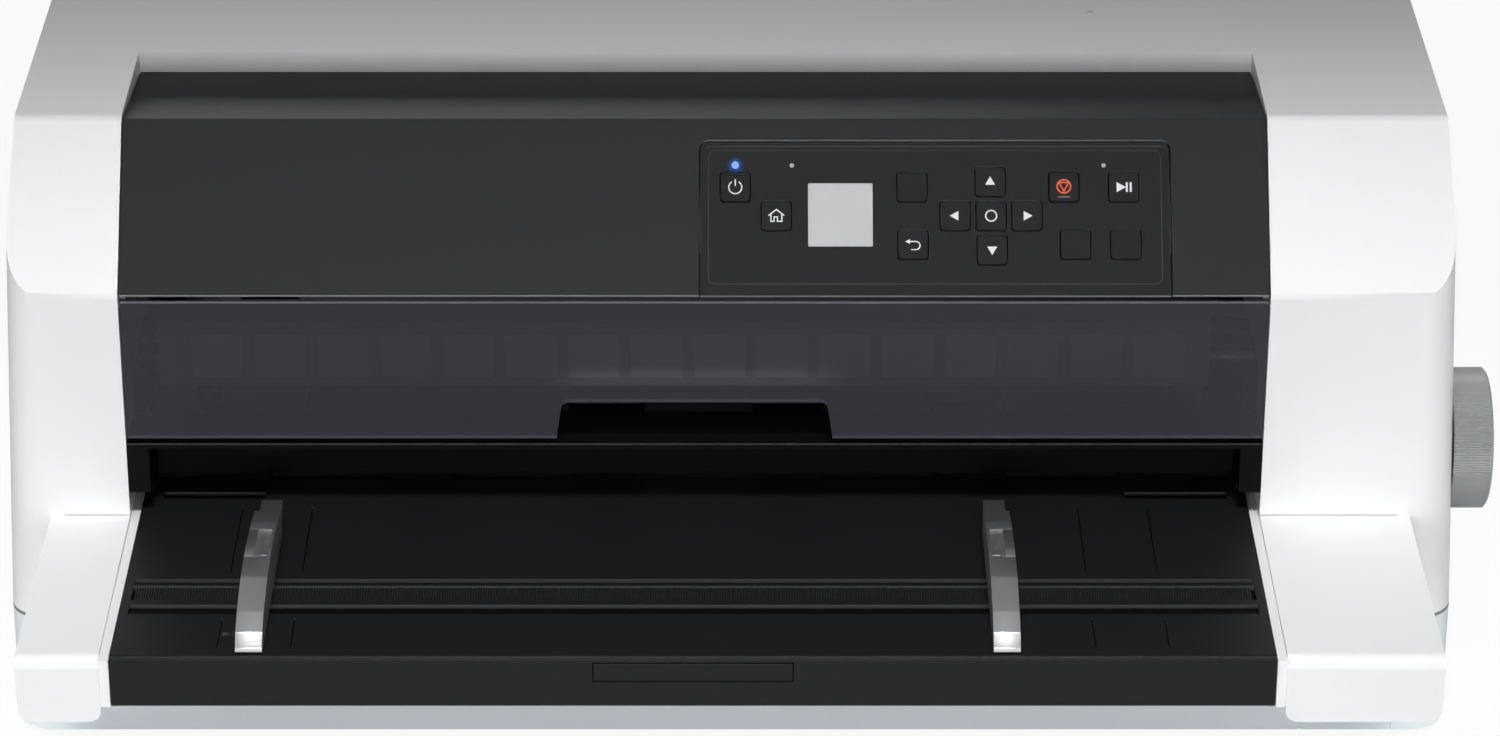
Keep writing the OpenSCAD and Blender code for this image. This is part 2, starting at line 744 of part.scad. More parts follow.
module status_lamps() {
    color("dodgerblue") on_slope() for (i = [0:2])
        translate([lamp_at[i][0], lamp_at[i][1], tray_z + tray_t])
            cylinder(h = -tray_z - tray_t - 0.1, r = lamp_r[i]);
}

// square push button, held by a flange at its upper and lower edge; two of them have a raised ring
module button(i) {
    color("#1a1c1e") on_slope() translate([buttons[i][0], buttons[i][1], 0]) difference() {
        union() {
            translate([0, 0, -cap_depth]) linear_extrude(cap_depth + cap_rise)
                round_rect(button_w, button_w, cap_r);
            translate([0, 0, -panel_t - touch - flange[1]]) linear_extrude(flange[1])
                round_rect(button_w - 2 * run_gap, flange[0], 1);
            if (len(search(i, ringed)) > 0)
                translate([0, 0, cap_rise - 0.1]) linear_extrude(0.5) difference() {
                    round_rect(button_w - 0.2, button_w - 0.2, cap_r);
                    round_rect(button_w - 2.2, button_w - 2.2, cap_r - 0.4);
                }
        }
        // hollow underside
        translate([0, 0, -cap_depth - over]) linear_extrude(cap_depth - 1)
            round_rect(button_w - 3, button_w - 3, cap_r - 0.4);
    }
}

// corner of a bent panel at a depth below its outer bend
function miter(b, n1, n2, t) = b + t * (n1 + n2) / (1 + n1 * n2);

// band of the cover's side view between two depths, run out past both ends
module cover_band(from, to, past) {
    front_in = -slope_out;
    start = cover_low - past * [cos(slope_a), sin(slope_a)];
    end = cover_back + past * top_dir;
    polygon([start + from * front_in, miter(crease, front_in, top_in, from), end + from * top_in,
        end + to * top_in, miter(crease, front_in, top_in, to), start + to * front_in]);
}

// hinged cover: inclined front and flat top in one bent panel, with side skirts and pegs
module top_cover() {
    x0 = left_edge + cover_gap;
    x1 = right_edge - cover_gap;
    rib_step = (x1 - x0) / 6;
    color("#2a2c2e") difference() {
        union() {
            // panel with a skirt at each side
            difference() {
                along_x(x0, x1) {
                    cover_band(0, cover_skirt, 0);
                    translate(cover_pivot) circle(r = cover_peg_r + 1.5);
                }
                along_x(x0 + wall, x1 - wall) cover_band(wall, cover_skirt + 3, 5);
            }
            at_cover_pivot(x0 - 4, x0 + wall / 2, cover_peg_r);
            at_cover_pivot(x1 - wall / 2, x1 + 4, cover_peg_r);
            // ribs under the top
            for (i = [1:5])
                along_x(x0 + i * rib_step - cover_rib[0] / 2, x0 + i * rib_step + cover_rib[0] / 2)
                intersection() {
                    cover_band(wall / 2, cover_rib[1], -1);
                    translate([crease[0] + 8, 0]) square([60, body_h]);
                }
        }
        // notch round the control panel
        on_slope() translate([0, 0, -wall - 6]) linear_extrude(wall + 12) panel_outline(0.5);
    }
}

module front_window() {
    x0 = left_edge + cover_gap;
    x1 = right_edge - cover_gap;
    notch_r = 3.4;
    color([0.2, 0.2, 0.23, 0.8]) {
        along_y(window_y, window_y + window_t) difference() {
            offset(0.8, $fn = 24) offset(-0.8)
                polygon([[x0, window_bottom], [x0, window_top], [x1, window_top], [x1, window_bottom]]);
            translate([window_mid, window_bottom]) offset(notch_r, $fn = 32) offset(-notch_r)
                polygon([[-notch_w / 2, -10], [-notch_w / 2, 0], [-notch_w / 2 + 2.5, notch_h],
                    [notch_w / 2 - 2.5, notch_h], [notch_w / 2, 0], [notch_w / 2, -10]]);
        }
        rod_x(x0 - 2.6, x0 + 1, window_peg_r, window_pivot[0], window_pivot[1]);
        rod_x(x1 - 1, x1 + 2.6, window_peg_r, window_pivot[0], window_pivot[1]);
    }
}

// steel chassis: pan and two side plates
module chassis_pan() {
    color("silver") difference() {
        union() {
            block([-pan_half, pan_y[0], pan_z], [pan_half, pan_y[1], pan_z + pan_t]);
            block([-pan_half, pan_y[0], pan_z], [pan_half, pan_y[0] + pan_t, pan_z + 8]);
            block([-pan_half, pan_y[1] - pan_t, pan_z], [pan_half, pan_y[1], pan_z + 8]);
        }
        for (i = [-6:6]) for (y = [60:30:120])
            translate([i * pan_half / 7.25, y, pan_z - over]) cylinder(h = pan_t + 2 * over, r = 6);
        for (p = screw_at) translate([p[0], p[1], 0]) cylinder(h = 40, r = boss_r + 4);
    }
}

module side_plate(x) {
    along_x(x, x + plate_t) difference() {
        polygon([[plate_front, pan_z + pan_t], [plate_front, 124], [60, plate_top], [plate_back, plate_top],
            [plate_back, pan_z + pan_t]]);
        translate([front_roller_y, roller_z]) circle(r = bush_r + run_gap);
        translate([rear_roller_y, roller_z]) circle(r = bush_r + run_gap);
        translate([front_roller_y, pinch_z]) circle(r = pinch_shaft_r + run_gap);
        translate([rail_y, rail_z]) circle(r = rail_r + run_gap);
        translate([idler_y, pinion_z]) circle(r = 5);
        translate([knob_y, knob_z]) circle(r = knob_shaft_r + run_gap);
        translate([50, 30]) square([54, 18]);
    }
}

module left_side_plate() {
    color("lightgray") {
        side_plate(left_plate_x);
        // flange that the belt motor hangs from
        difference() {
            block([drive_x - 20, rail_y - 22, plate_top - plate_t],
                [left_plate_x + over, rail_y + 22, plate_top]);
            translate([drive_x, rail_y, 0]) cylinder(h = 2 * plate_top, r = 4);
        }
    }
}

module right_side_plate() {
    x = right_plate_x + plate_t;
    color("lightgray") {
        side_plate(right_plate_x);
        block([x - over, rail_y - 15, plate_top - plate_t], [idler_x + 12, rail_y + 15, plate_top]);
        // studs of the belt idler and of the idler gear
        translate([idler_x, rail_y, plate_top - over]) cylinder(h = 15 + over, r = stud_r);
        rod_x(x - over, gear_x + gear_t + 2, stud_r, idler_y, roller_z);
    }
}

module roller_bushes() {
    color("peru") for (y = [front_roller_y, rear_roller_y]) {
        bush(left_plate_x + plate_t, -1, y);
        bush(right_plate_x, 1, y);
    }
}

module bush(x, s, y) {
    t = bush_flange[1];
    difference() {
        union() {
            rod_x(s < 0 ? x : x - t, s < 0 ? x + t : x, bush_flange[0], y, roller_z);
            rod_x(s < 0 ? x - plate_t - 1 : x - over, s < 0 ? x + over : x + plate_t + 1, bush_r, y,
                roller_z);
        }
        rod_x(x - 10, x + 10, shaft_r + run_gap, y, roller_z);
    }
}

module carriage_rail() {
    color("silver") rod_x(left_plate_x - 1, right_plate_x + plate_t + 1, rail_r, rail_y, rail_z);
}

// flat platen and paper bed, with windows for the rear rollers
module paper_bed() {
    x0 = left_plate_x + plate_t;
    x1 = right_plate_x;
    color("#303234") difference() {
        union() {
            block([x0, bed_front + 1, table_top - 12], [x1, bed_bar_back, table_top]);
            block([x0 + 3, bed_bar_back - over, table_top - bed_t], [x1 - 3, body_d - wall, table_top]);
        }
        for (x = roller_x)
            block([x - roller_len / 2 - 2, rear_roller_y - roller_r - 1.5, table_top - bed_t - over],
                [x + roller_len / 2 + 2, rear_roller_y + roller_r + 1.5, table_top + over]);
        // grooves across the bed behind the rollers
        for (i = [0:3])
            block([x0 + 20, 140 + i * 30, table_top - 1], [x1 - 20, 143 + i * 30, table_top + over]);
    }
}

// rubber rollers on a steel shaft with a gear at its right end
function involute_angle(r, base) = let (a = acos(min(1, base / r))) tan(a) * 180 / PI - a;

function gear_points(teeth, m, slack) =
    let (rp = m * teeth / 2, base = rp * cos(20), root = rp - 1.2 * m, tip = rp + 0.95 * m,
        half = 90 / teeth - slack / rp * 90 / PI + involute_angle(rp, base),
        radii = [max(root, base), (base + rp) / 2 < root ? rp : max(base, (base + rp) / 2), rp, tip])
    [for (i = [0:teeth - 1]) let (mid = i * 360 / teeth) each concat(
        [root * [cos(mid - half - 0.5), sin(mid - half - 0.5)]],
        [for (r = radii) let (a = mid - half + involute_angle(r, base)) r * [cos(a), sin(a)]],
        [for (j = [3:-1:0]) let (r = radii[j], a = mid + half - involute_angle(r, base))
            r * [cos(a), sin(a)]],
        [root * [cos(mid + half + 0.5), sin(mid + half + 0.5)]])];

// gear about X; turn is the angle of one tooth from +Y towards +Z
module gear(x0, x1, teeth, y, z, turn, bore) {
    translate([x0, y, z]) rotate([90, 0, 90]) linear_extrude(x1 - x0) difference() {
        rotate(turn) polygon(gear_points(teeth, gear_m, 0.22));
        if (bore > 0) circle(r = bore);
    }
}

// angle at which a gear meshes with one whose tooth stands at turn_a; dir points at the new gear
function mesh_turn(turn_a, teeth_a, teeth_b, dir) =
    dir + 180 - 360 / teeth_b * (0.5 - (dir - turn_a) * teeth_a / 360);

idler_turn = mesh_turn(0, roller_teeth, idler_teeth, 0);
rear_turn = mesh_turn(idler_turn, idler_teeth, roller_teeth, 0);
knob_turn = mesh_turn(0, roller_teeth, knob_teeth, knob_dir);
pinion_turn = mesh_turn(idler_turn, idler_teeth, pinion_teeth, -90);

module roller_shaft(y, turn, gear_end) {
    color("silver") {
        rod_x(left_plate_x - 4, gear_x + touch, shaft_r, y, roller_z);
        gear(gear_x, gear_end, roller_teeth, y, roller_z, turn, 0);
    }
}

module front_roller_shaft() {
    roller_shaft(front_roller_y, 0, gear_x + gear_step + gear_t);
}

module rear_roller_shaft() {
    roller_shaft(rear_roller_y, rear_turn, gear_x + gear_t);
}

module rollers(y) {
    color("#2c2c2e") for (x = roller_x) difference() {
        rod_x(x - roller_len / 2, x + roller_len / 2, roller_r, y, roller_z);
        rod_x(x - roller_len, x + roller_len, shaft_r + 0.02, y, roller_z);
    }
}

module front_rollers() {
    rollers(front_roller_y);
}

module rear_rollers() {
    rollers(rear_roller_y);
}

module pinch_rollers() {
    color("darkgray") {
        rod_x(left_plate_x - 1, right_plate_x + plate_t + 1, pinch_shaft_r, front_roller_y, pinch_z);
        for (x = roller_x) rod_x(x - 12, x + 12, pinch_r, front_roller_y, pinch_z);
    }
}

module idler_gear() {
    color("ivory") gear(gear_x, gear_x + gear_t, idler_teeth, idler_y, roller_z, idler_turn,
        stud_r + run_gap);
}

module motor_pinion() {
    color("goldenrod") {
        gear(gear_x, gear_x + gear_t, pinion_teeth, idler_y, pinion_z, pinion_turn, 0);
        rod_x(right_plate_x - 8, gear_x + over, stud_r, idler_y, pinion_z);
    }
}

module knob_shaft() {
    color("silver") {
        rod_x(right_plate_x - 4, knob_end - knob_cap, knob_shaft_r, knob_y, knob_z);
        gear(gear_x + gear_step, gear_x + gear_step + gear_t, knob_teeth, knob_y, knob_z, knob_turn, 0);
    }
}

// ribbed hand wheel on the right side, hollow towards the housing
module knob() {
    x0 = body_w / 2 - 0.6;
    rib = 0.5;
    lip = 0.3;
    round_r = 1.2;
    rim = [for (i = [0:2 * knob_ribs - 1]) let (r = knob_r - (i % 2) * rib)
        r * [cos(i * 180 / knob_ribs), sin(i * 180 / knob_ribs)]];
    color("darkgray") translate([0, knob_y, knob_z]) rotate([90, 0, 90]) difference() {
        union() {
            translate([0, 0, x0]) linear_extrude(knob_end - round_r - x0) polygon(rim);
            rotate_extrude($fn = 96) polygon(concat([[0, knob_end - 2 * round_r],
                [knob_r - rib - lip, knob_end - 2 * round_r]],
                corner([knob_r - rib - lip - round_r, knob_end - round_r], round_r, 0), [[0, knob_end]]));
            translate([0, 0, x0 - 12]) cylinder(h = 14, r = knob_hub_r);
        }
        translate([0, 0, x0 - 13])
            cylinder(h = knob_end - knob_cap - x0 + 13 + touch, r = knob_shaft_r + 0.02);
        translate([0, 0, x0 - over]) difference() {
            cylinder(h = 10, r = knob_r - 4);
            cylinder(h = 10, r = knob_hub_r + 2);
        }
    }
}

// motors
module belt_motor() {
    color("#3a3c3e") difference() {
        translate([drive_x, rail_y, plate_top - plate_t - motor_len]) cylinder(h = motor_len, r = motor_r);
        translate([drive_x, rail_y, plate_top - plate_t - 12]) cylinder(h = 20, r = stud_r + run_gap);
    }
}

module feed_motor() {
    color("#3a3c3e") difference() {
        rod_x(right_plate_x - motor_len, right_plate_x, motor_r, idler_y, pinion_z);
        rod_x(right_plate_x - 10, right_plate_x + over, stud_r + run_gap, idler_y, pinion_z);
    }
}

module pulley(x, stud) {
    translate([x, rail_y, 0]) difference() {
        union() {
            translate([0, 0, belt_z - 1]) cylinder(h = belt_w + 2, r = pulley_r - touch);
            translate([0, 0, belt_z - 1.4]) cylinder(h = 1, r = pulley_r + 1.5);
            translate([0, 0, belt_z + belt_w + 0.4]) cylinder(h = 1, r = pulley_r + 1.5);
            if (stud == 0)
                translate([0, 0, plate_top - 10]) cylinder(h = belt_z - plate_top + 11, r = stud_r);
        }
        if (stud > 0) translate([0, 0, belt_z - 5]) cylinder(h = 20, r = stud_r + run_gap);
    }
}

module drive_pulley() {
    color("silver") pulley(drive_x, 0);
}

module idler_pulley() {
    color("silver") pulley(idler_x, 1);
}

// belt loop round the two pulleys
module belt_outline(r) {
    translate([drive_x, rail_y]) circle(r = r);
    translate([idler_x, rail_y]) circle(r = r);
    translate([drive_x, rail_y - r]) square([idler_x - drive_x, 2 * r]);
}

module carriage_belt() {
    color("#202020") translate([0, 0, belt_z]) linear_extrude(belt_w) difference() {
        belt_outline(pulley_r + belt_t);
        belt_outline(pulley_r);
    }
}

// carriage with its rail bore and the clamp on the belt's rear run
module carriage() {
    strand = [rail_y + pulley_r, rail_y + pulley_r + belt_t];
    x0 = carriage_x - carriage_w / 2;
    x1 = carriage_x + carriage_w / 2;
    color("#4a4c50") difference() {
        union() {
            along_x(x0, x1) offset(2, $fn = 24) offset(-2)
                polygon([[rail_y - 16, rail_z - 13], [rail_y - 16, belt_z - 2], [rail_y + 14, belt_z - 2],
                    [rail_y + 14, rail_z - 7], [rail_y + 8, rail_z - 13]]);
            block([x0 + 12, strand[0] - touch - 3.4, belt_z - 3],
                [x1 - 12, strand[0] - touch, belt_z + belt_w + 2]);
            block([x0 + 12, strand[1] + touch, belt_z - 3], [x1 - 12, rail_y + 14, belt_z + belt_w + 2]);
        }
        rod_x(x0 - over, x1 + over, rail_r + run_gap, rail_y, rail_z);
    }
}

// print head: finned aluminium body with a tapered nose over the platen
module print_head() {
    low = table_top + 2.7;
    back = rail_y - 16;
    color("silver") difference() {
        union() {
            block([carriage_x - head_w / 2, back - 22, rail_z - 10],
                [carriage_x + head_w / 2, back, rail_z + 35]);
            along_x(carriage_x - 8, carriage_x + 8)
                polygon([[back - 13, low], [back - 3, low], [back - 1, rail_z - 9], [back - 18, rail_z - 9]]);
        }
        // cooling fins
        for (i = [0:5])
            block([carriage_x - head_w, back - 23, rail_z + 1 + i * 5.6],
                [carriage_x + head_w, back - 5, rail_z + 4 + i * 5.6]);
    }
}

// long ribbon cartridge that stands on the platen at its two ends
module ribbon_cartridge() {
    x0 = cartridge_x[0];
    x1 = cartridge_x[1];
    y = cartridge_y;
    z = cartridge_z;
    step = (x1 - x0 - 20) / 16;
    leg = [bed_front + 9, bed_front + 28];
    color("#3b3d42") {
        difference() {
            along_x(x0, x1) offset(3, $fn = 24) offset(-3)
                polygon([[y[0], z[0]], [y[0], z[1]], [y[1], z[1]], [y[1], z[0]]]);
            // panels between the ribs of the front wall
            for (i = [0:15])
                block([x0 + 14 + i * step, y[0] - over, z[0] + 4.4],
                    [x0 + 9 + (i + 1) * step, y[0] + 1, z[1] - 4.9]);
        }
        for (x = [x0, x1 - cartridge_leg]) along_x(x, x + cartridge_leg)
            polygon([[y[0] + 10, z[0] + 6.4], [leg[0], z[0] - 23.6], [leg[0], table_top], [leg[1], table_top],
                [leg[1], z[0] - 23.6], [y[1], z[1] - 11.9], [y[0] + 10, z[1] - 11.9]]);
    }
}

module ink_ribbon() {
    color("#18181a") block([cartridge_x[0] + cartridge_leg, bed_front + 12.5, table_top + 1.2],
        [cartridge_x[1] - cartridge_leg, bed_front + 25.5, table_top + 1.6]);
}

// electronics
module power_supply() {
    z0 = pan_z + pan_t;
    y = supply_y;
    color("silver") difference() {
        block([20, y[0], z0], [200, y[1], z0 + 40]);
        block([22, y[0] + 2, z0 + 2], [198, y[1] - 2, z0 + 38]);
        for (i = [0:13]) block([34 + i * 12, y[0] + 10, z0 + 36], [39 + i * 12, y[1] - 42, z0 + 41]);
    }
}

module main_board() {
    z0 = pan_z + pan_t;
    y = board_y;
    color("seagreen") {
        block([-230, y[0], z0 + 6], [-20, y[1], z0 + 7.6]);
        for (x = [-224, -26]) for (y = [y[0] + 6, y[1] - 6]) translate([x, y, z0]) cylinder(h = 6.5, r = 3);
        block([-150, y[0] + 40, z0 + 7], [-122, y[0] + 68, z0 + 10]);
        block([-100, y[0] + 30, z0 + 7], [-86, y[0] + 60, z0 + 9.5]);
        for (i = [0:3]) translate([-60 + i * 10, y[1] - 28, z0 + 7]) cylinder(h = 16, r = 4);
    }
}

module power_inlet() {
    color("#202020") translate([inlet_at[0], 0, inlet_at[1]]) {
        w = inlet_size[0];
        h = inlet_size[1];
        difference() {
            block([-w / 2, body_d - 24, -h / 2], [w / 2, body_d, h / 2]);
            block([-w / 2 + 3, body_d - 17, -h / 2 + 3], [w / 2 - 3, body_d + over, h / 2 - 3]);
        }
        for (p = [[-7, -2], [7, -2], [0, 2]])
            block([p[0] - 1, body_d - 18, p[1] - 2], [p[0] + 1, body_d - 4, p[1] + 2]);
    }
}

module interface_ports() {
    color("#303030") translate([ports_at[0], 0, ports_at[1]]) {
        w = ports_size[0];
        h = ports_size[1];
        difference() {
            block([-w / 2, body_d - 14, -h / 2], [w / 2, body_d - 0.6, h / 2]);
            block([-w / 2 + 4, body_d - 10, -6], [-w / 2 + 62, body_d + over, 6]);
            block([w / 2 - 26, body_d - 10, -6], [w / 2 - 13, body_d + over, 6]);
        }
        block([-w / 2 + 9, body_d - 11, -1.6], [-w / 2 + 57, body_d - 3, 1.6]);
    }
}

placed() base_tray();
placed() feet();
placed() upper_housing();
placed() left_arm();
placed() right_arm();
placed() feed_table();
placed() guide_rack();
placed() slot_frame();
placed() front_crossbar();
placed() control_panel();
placed() display();
placed() status_lamps();
placed() left_side_plate();
placed() right_side_plate();
placed() chassis_pan();
placed() paper_bed();
placed() roller_bushes();
placed() carriage_rail();
placed() carriage_belt();
placed() belt_motor();
placed() feed_motor();
placed() power_supply();
placed() main_board();
placed() power_inlet();
placed() interface_ports();
placed() housing_screws();
placed() ribbon_cartridge();
placed() ink_ribbon();
placed() sheet_support();
placed() top_cover();
placed() front_window();
placed() left_edge_guide();
placed() right_edge_guide();
placed() carriage();
placed() print_head();
placed() drive_pulley();
placed() idler_pulley();
placed() front_roller_shaft();
placed() front_rollers();
placed() rear_roller_shaft();
placed() rear_rollers();
placed() pinch_rollers();
placed() knob();
placed() knob_shaft();
placed() idler_gear();
placed() motor_pinion();
placed() rear_cover();
placed() button(0);  // power_button
placed() button(1);  // home_button
placed() button(2);  // source_button
placed() button(3);  // back_button
placed() button(4);  // left_button
placed() button(5);  // ok_button
placed() button(6);  // right_button
placed() button(7);  // up_button
placed() button(8);  // down_button
placed() button(9);  // cancel_button
placed() button(10);  // pause_button
placed() button(11);  // load_button
placed() button(12);  // feed_button
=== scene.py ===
import json
import math

import bmesh
import bpy
from mathutils import Matrix, Vector


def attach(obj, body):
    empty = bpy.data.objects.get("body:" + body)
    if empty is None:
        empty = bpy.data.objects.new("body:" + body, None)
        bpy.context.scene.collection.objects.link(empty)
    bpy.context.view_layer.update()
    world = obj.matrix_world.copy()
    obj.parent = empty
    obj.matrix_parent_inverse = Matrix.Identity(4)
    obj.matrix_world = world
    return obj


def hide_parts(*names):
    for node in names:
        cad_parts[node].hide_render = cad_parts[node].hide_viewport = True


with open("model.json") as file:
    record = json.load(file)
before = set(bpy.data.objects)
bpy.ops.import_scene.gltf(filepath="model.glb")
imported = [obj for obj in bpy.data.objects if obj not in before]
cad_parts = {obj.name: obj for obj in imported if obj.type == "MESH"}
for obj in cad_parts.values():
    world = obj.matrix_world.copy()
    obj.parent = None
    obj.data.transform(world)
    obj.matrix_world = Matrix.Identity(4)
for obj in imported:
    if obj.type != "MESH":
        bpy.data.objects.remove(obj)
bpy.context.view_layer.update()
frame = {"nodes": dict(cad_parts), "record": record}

# --- View ---------------------------------------------------------------------------------
# The printer is seen from the front and a little above, through a long lens. The lens points
# straight back, so upright edges stay nearly upright, and the frame is filled from side to side.
MM = 0.001
HOUSING_MID = Vector((-8.35, -77, 0)) * MM
FOCAL_PX, FRAME_PX, SHIFT_PX = 5000, 1500, 19
SENSOR_MM = 36
LOOKING_DOWN = math.radians(26.4)
LENS_FROM_HOUSING = Vector((0, -1894.5, 1120.5)) * MM
camera = bpy.data.objects.new("view_camera", bpy.data.cameras.new("view_camera"))
camera.data.sensor_width = SENSOR_MM
camera.data.lens = FOCAL_PX / FRAME_PX * SENSOR_MM
camera.data.shift_x = SHIFT_PX / FRAME_PX
camera.location = HOUSING_MID + LENS_FROM_HOUSING
camera.rotation_euler = (math.pi / 2 - LOOKING_DOWN, 0, 0)
camera.data.clip_end = 50
bpy.context.collection.objects.link(camera)
bpy.context.scene.camera = camera
bpy.context.scene.view_settings.view_transform = "Standard"


# --- Floor and light ----------------------------------------------------------------------
# A pale studio floor under three soft lamps: a narrow strip overhead that favours the arms and
# the table, a wide one low in front and one low behind. The floor shows white, with shadows.
class Wire:
    """One socket of a finish. Arithmetic on it adds Math nodes."""

    def __init__(self, finish, socket):
        self.finish = finish
        self.socket = socket

    def math(self, operation, *others):
        return self.finish.node("ShaderNodeMath", {"operation": operation}, dict(enumerate([self, *others])))

    def __add__(self, other):
        return self.math("ADD", other)

    def __sub__(self, other):
        return self.math("SUBTRACT", other)

    def __mul__(self, other):
        return self.math("MULTIPLY", other)


class Finish:
    """A material under construction, with its Principled shader at hand."""

    def __init__(self, name, constants):
        self.material = bpy.data.materials.new(name)
        self.material.use_nodes = True
        self.tree = self.material.node_tree
        self.shader = self.tree.nodes["Principled BSDF"]
        for socket, value in constants.items():
            self.shader.inputs[socket].default_value = value

    def node(self, kind, settings, sockets, out=0):
        made = self.tree.nodes.new(kind)
        for key, value in settings.items():
            setattr(made, key, value)
        for slot, value in sockets.items():
            if isinstance(value, Wire):
                self.tree.links.new(value.socket, made.inputs[slot])
            else:
                made.inputs[slot].default_value = value
        return Wire(self, made.outputs[out])

    def feed(self, socket, wire):
        self.tree.links.new(wire.socket, self.shader.inputs[socket])

    def place(self, scale=(1, 1, 1)):
        """Object coordinates in metres, stretched."""
        spot = self.node("ShaderNodeTexCoord", {}, {}, out=3)
        return self.node("ShaderNodeMapping", {}, {0: spot, 3: scale})

    def axis(self, number):
        """The place along X, Y or Z, in metres."""
        return self.node("ShaderNodeSeparateXYZ", {}, {0: self.place()}, out=number)

    def noise(self, grain, detail=2.0, scale=(1, 1, 1)):
        """Noise whose features are about one grain, in metres, across."""
        return self.node("ShaderNodeTexNoise", {}, {"Vector": self.place(scale), "Scale": 1 / grain,
                                                    "Detail": detail, "Roughness": 0.55})

    def blend(self, factor, first, second):
        return self.node("ShaderNodeMix", {"data_type": "RGBA"}, {0: factor, 6: first, 7: second}, out=2)

    def facing(self, way, low=0.4, high=0.7):
        """One where the piece's own surface faces that way, and zero where it turns off."""
        normal = self.node("ShaderNodeTexCoord", {}, {}, out=1)
        along = self.node("ShaderNodeVectorMath", {"operation": "DOT_PRODUCT"},
                          {0: normal, 1: tuple(way)}, out=1)
        return self.node("ShaderNodeMapRange", {"interpolation_type": "SMOOTHSTEP"},
                         {0: along, 1: low, 2: high})

    def bump(self, height, depth, strength):
        normal = self.node("ShaderNodeBump", {}, {"Strength": strength, "Distance": depth, "Height": height})
        self.feed("Normal", normal)


def shade(colour, factor):
    return tuple(min(1, part * factor) for part in colour[:3]) + (1,)


FLOOR_GLOW = 0.93


def studio_white(name):
    """A matt white that shows as plain white in reflections, and nearly so to the camera."""
    finish = Finish(name, {"Base Color": (0.93, 0.93, 0.93, 1), "Roughness": 0.9})
    rays = finish.tree.nodes.new("ShaderNodeLightPath")
    seen = Wire(finish, rays.outputs["Is Glossy Ray"]) + Wire(finish, rays.outputs["Is Transmission Ray"])
    shown = (seen + Wire(finish, rays.outputs["Is Camera Ray"]) * FLOOR_GLOW).math("MINIMUM", 1.0)
    glow = finish.node("ShaderNodeEmission", {}, {"Color": (1, 1, 1, 1), "Strength": 1})
    plain = Wire(finish, finish.shader.outputs[0])
    mixed = finish.node("ShaderNodeMixShader", {}, {0: shown, 1: plain, 2: glow})
    finish.tree.links.new(mixed.socket, finish.tree.nodes["Material Output"].inputs["Surface"])
    return finish.material


def plain_mesh(name, points, faces, material):
    mesh = bpy.data.meshes.new(name)
    mesh.from_pydata([tuple(point) for point in points], [], faces)
    mesh.materials.append(material)
    mesh.validate()
    thing = bpy.data.objects.new(name, mesh)
    bpy.context.collection.objects.link(thing)
    return thing


FLOOR_REACH = 8
floor_corners = [(x * FLOOR_REACH, y * FLOOR_REACH, 0) for x, y in ((-1, -1), (1, -1), (1, 1), (-1, 1))]
floor = plain_mesh("studio_floor", floor_corners, [(0, 1, 2, 3)], studio_white("floor_white"))

world = bpy.data.worlds.new("studio")
world.use_nodes = True
sky = world.node_tree.nodes["Background"].inputs
sky["Color"].default_value = (0.93, 0.96, 1, 1)
sky["Strength"].default_value = 0.21
bpy.context.scene.world = world


def lamp(name, place, aim, size, power, spread):
    """A soft rectangular lamp. Places and sizes are in metres, its power in watts."""
    light = bpy.data.lights.new(name, "AREA")
    light.shape = "RECTANGLE"
    light.size, light.size_y = size
    light.energy = power
    light.spread = math.radians(spread)
    thing = bpy.data.objects.new(name, light)
    thing.location = place
    thing.rotation_euler = (Vector(aim) - Vector(place)).to_track_quat("-Z", "Y").to_euler()
    bpy.context.collection.objects.link(thing)


lamp("strip_lamp", (-0.05, -0.95, 1.75), (-0.06, -0.15, 0.11), (1.3, 0.25), power=1.3, spread=24)
lamp("low_lamp", (-0.1, -2.4, 0.3), (0, -0.2, 0.05), (0.8, 0.4), power=2.2, spread=60)
lamp("back_lamp", (-0.5, 2.4, 0.3), (0, 0.2, 0.12), (1.6, 0.5), power=4, spread=90)


# --- Housing, arms and rear cover ---------------------------------------------------------
# The white shell with its two cheeks, the arms beside the feed table and the flap at the back
# are injection moulded in white, with a fine spark-eroded grain and small rounded edges.
body_of = {node: body for body, members in frame["record"]["behaviour"]["bodies"].items()
           for node in members}
GRAIN, GRAIN_DEPTH = 0.9 * MM, 0.04 * MM
BASE_TOP, ARM_TOP, CHEEK_FRONT, HALF_WIDTH_AT_ARMS = 59.4, 109.6, -77, 286


def moulding(name, colour, speckle, rough, sheen=0.4, gap_and_shade=None):
    """Moulded plastic with a fine grain in its colour, gloss and height, and darker under its gap-and-shade
    mask, which marks joints and, on the housing, painted shade.
    """
    finish = Finish(name, {"IOR": 1.46, "Specular IOR Level": sheen})
    fine = finish.noise(GRAIN)
    broad = finish.noise(60 * MM, 3)
    mottle = fine * 0.8 + broad * 0.2
    tone = finish.blend(mottle, shade(colour, 1 - speckle), shade(colour, 1 + speckle))
    if gap_and_shade:
        tone = finish.blend(gap_and_shade(finish), tone, shade(colour, 0.25))
    finish.feed("Base Color", tone)
    finish.feed("Roughness", fine * 0.12 + (rough - 0.06))
    finish.bump(fine, GRAIN_DEPTH, 0.6)
    return finish.material


def close_to(wire, place, reach):
    """One within a reach of a place on an axis, both in millimetres."""
    return (wire - place * MM).math("ABSOLUTE").math("LESS_THAN", reach * MM)


def base_seam(finish):
    """The joint between the housing and the base tray."""
    return close_to(finish.axis(2), BASE_TOP, 0.8)


def seams_and_arm_shade(finish):
    """The base tray's joint, and a thin dark line where each arm's top meets its cheek's front, which is
    partly that joint and partly painted shade.
    """
    # Painted shade: the colour is darkened in a thin line where the arms meet the cheeks.
    arm_joint_and_shade = close_to(finish.axis(2), ARM_TOP, 0.4) * close_to(finish.axis(1), CHEEK_FRONT, 0.5)
    between = close_to(finish.axis(0), HOUSING_MID.x / MM, HALF_WIDTH_AT_ARMS)
    return base_seam(finish).math("MAXIMUM", arm_joint_and_shade * between * 0.4)


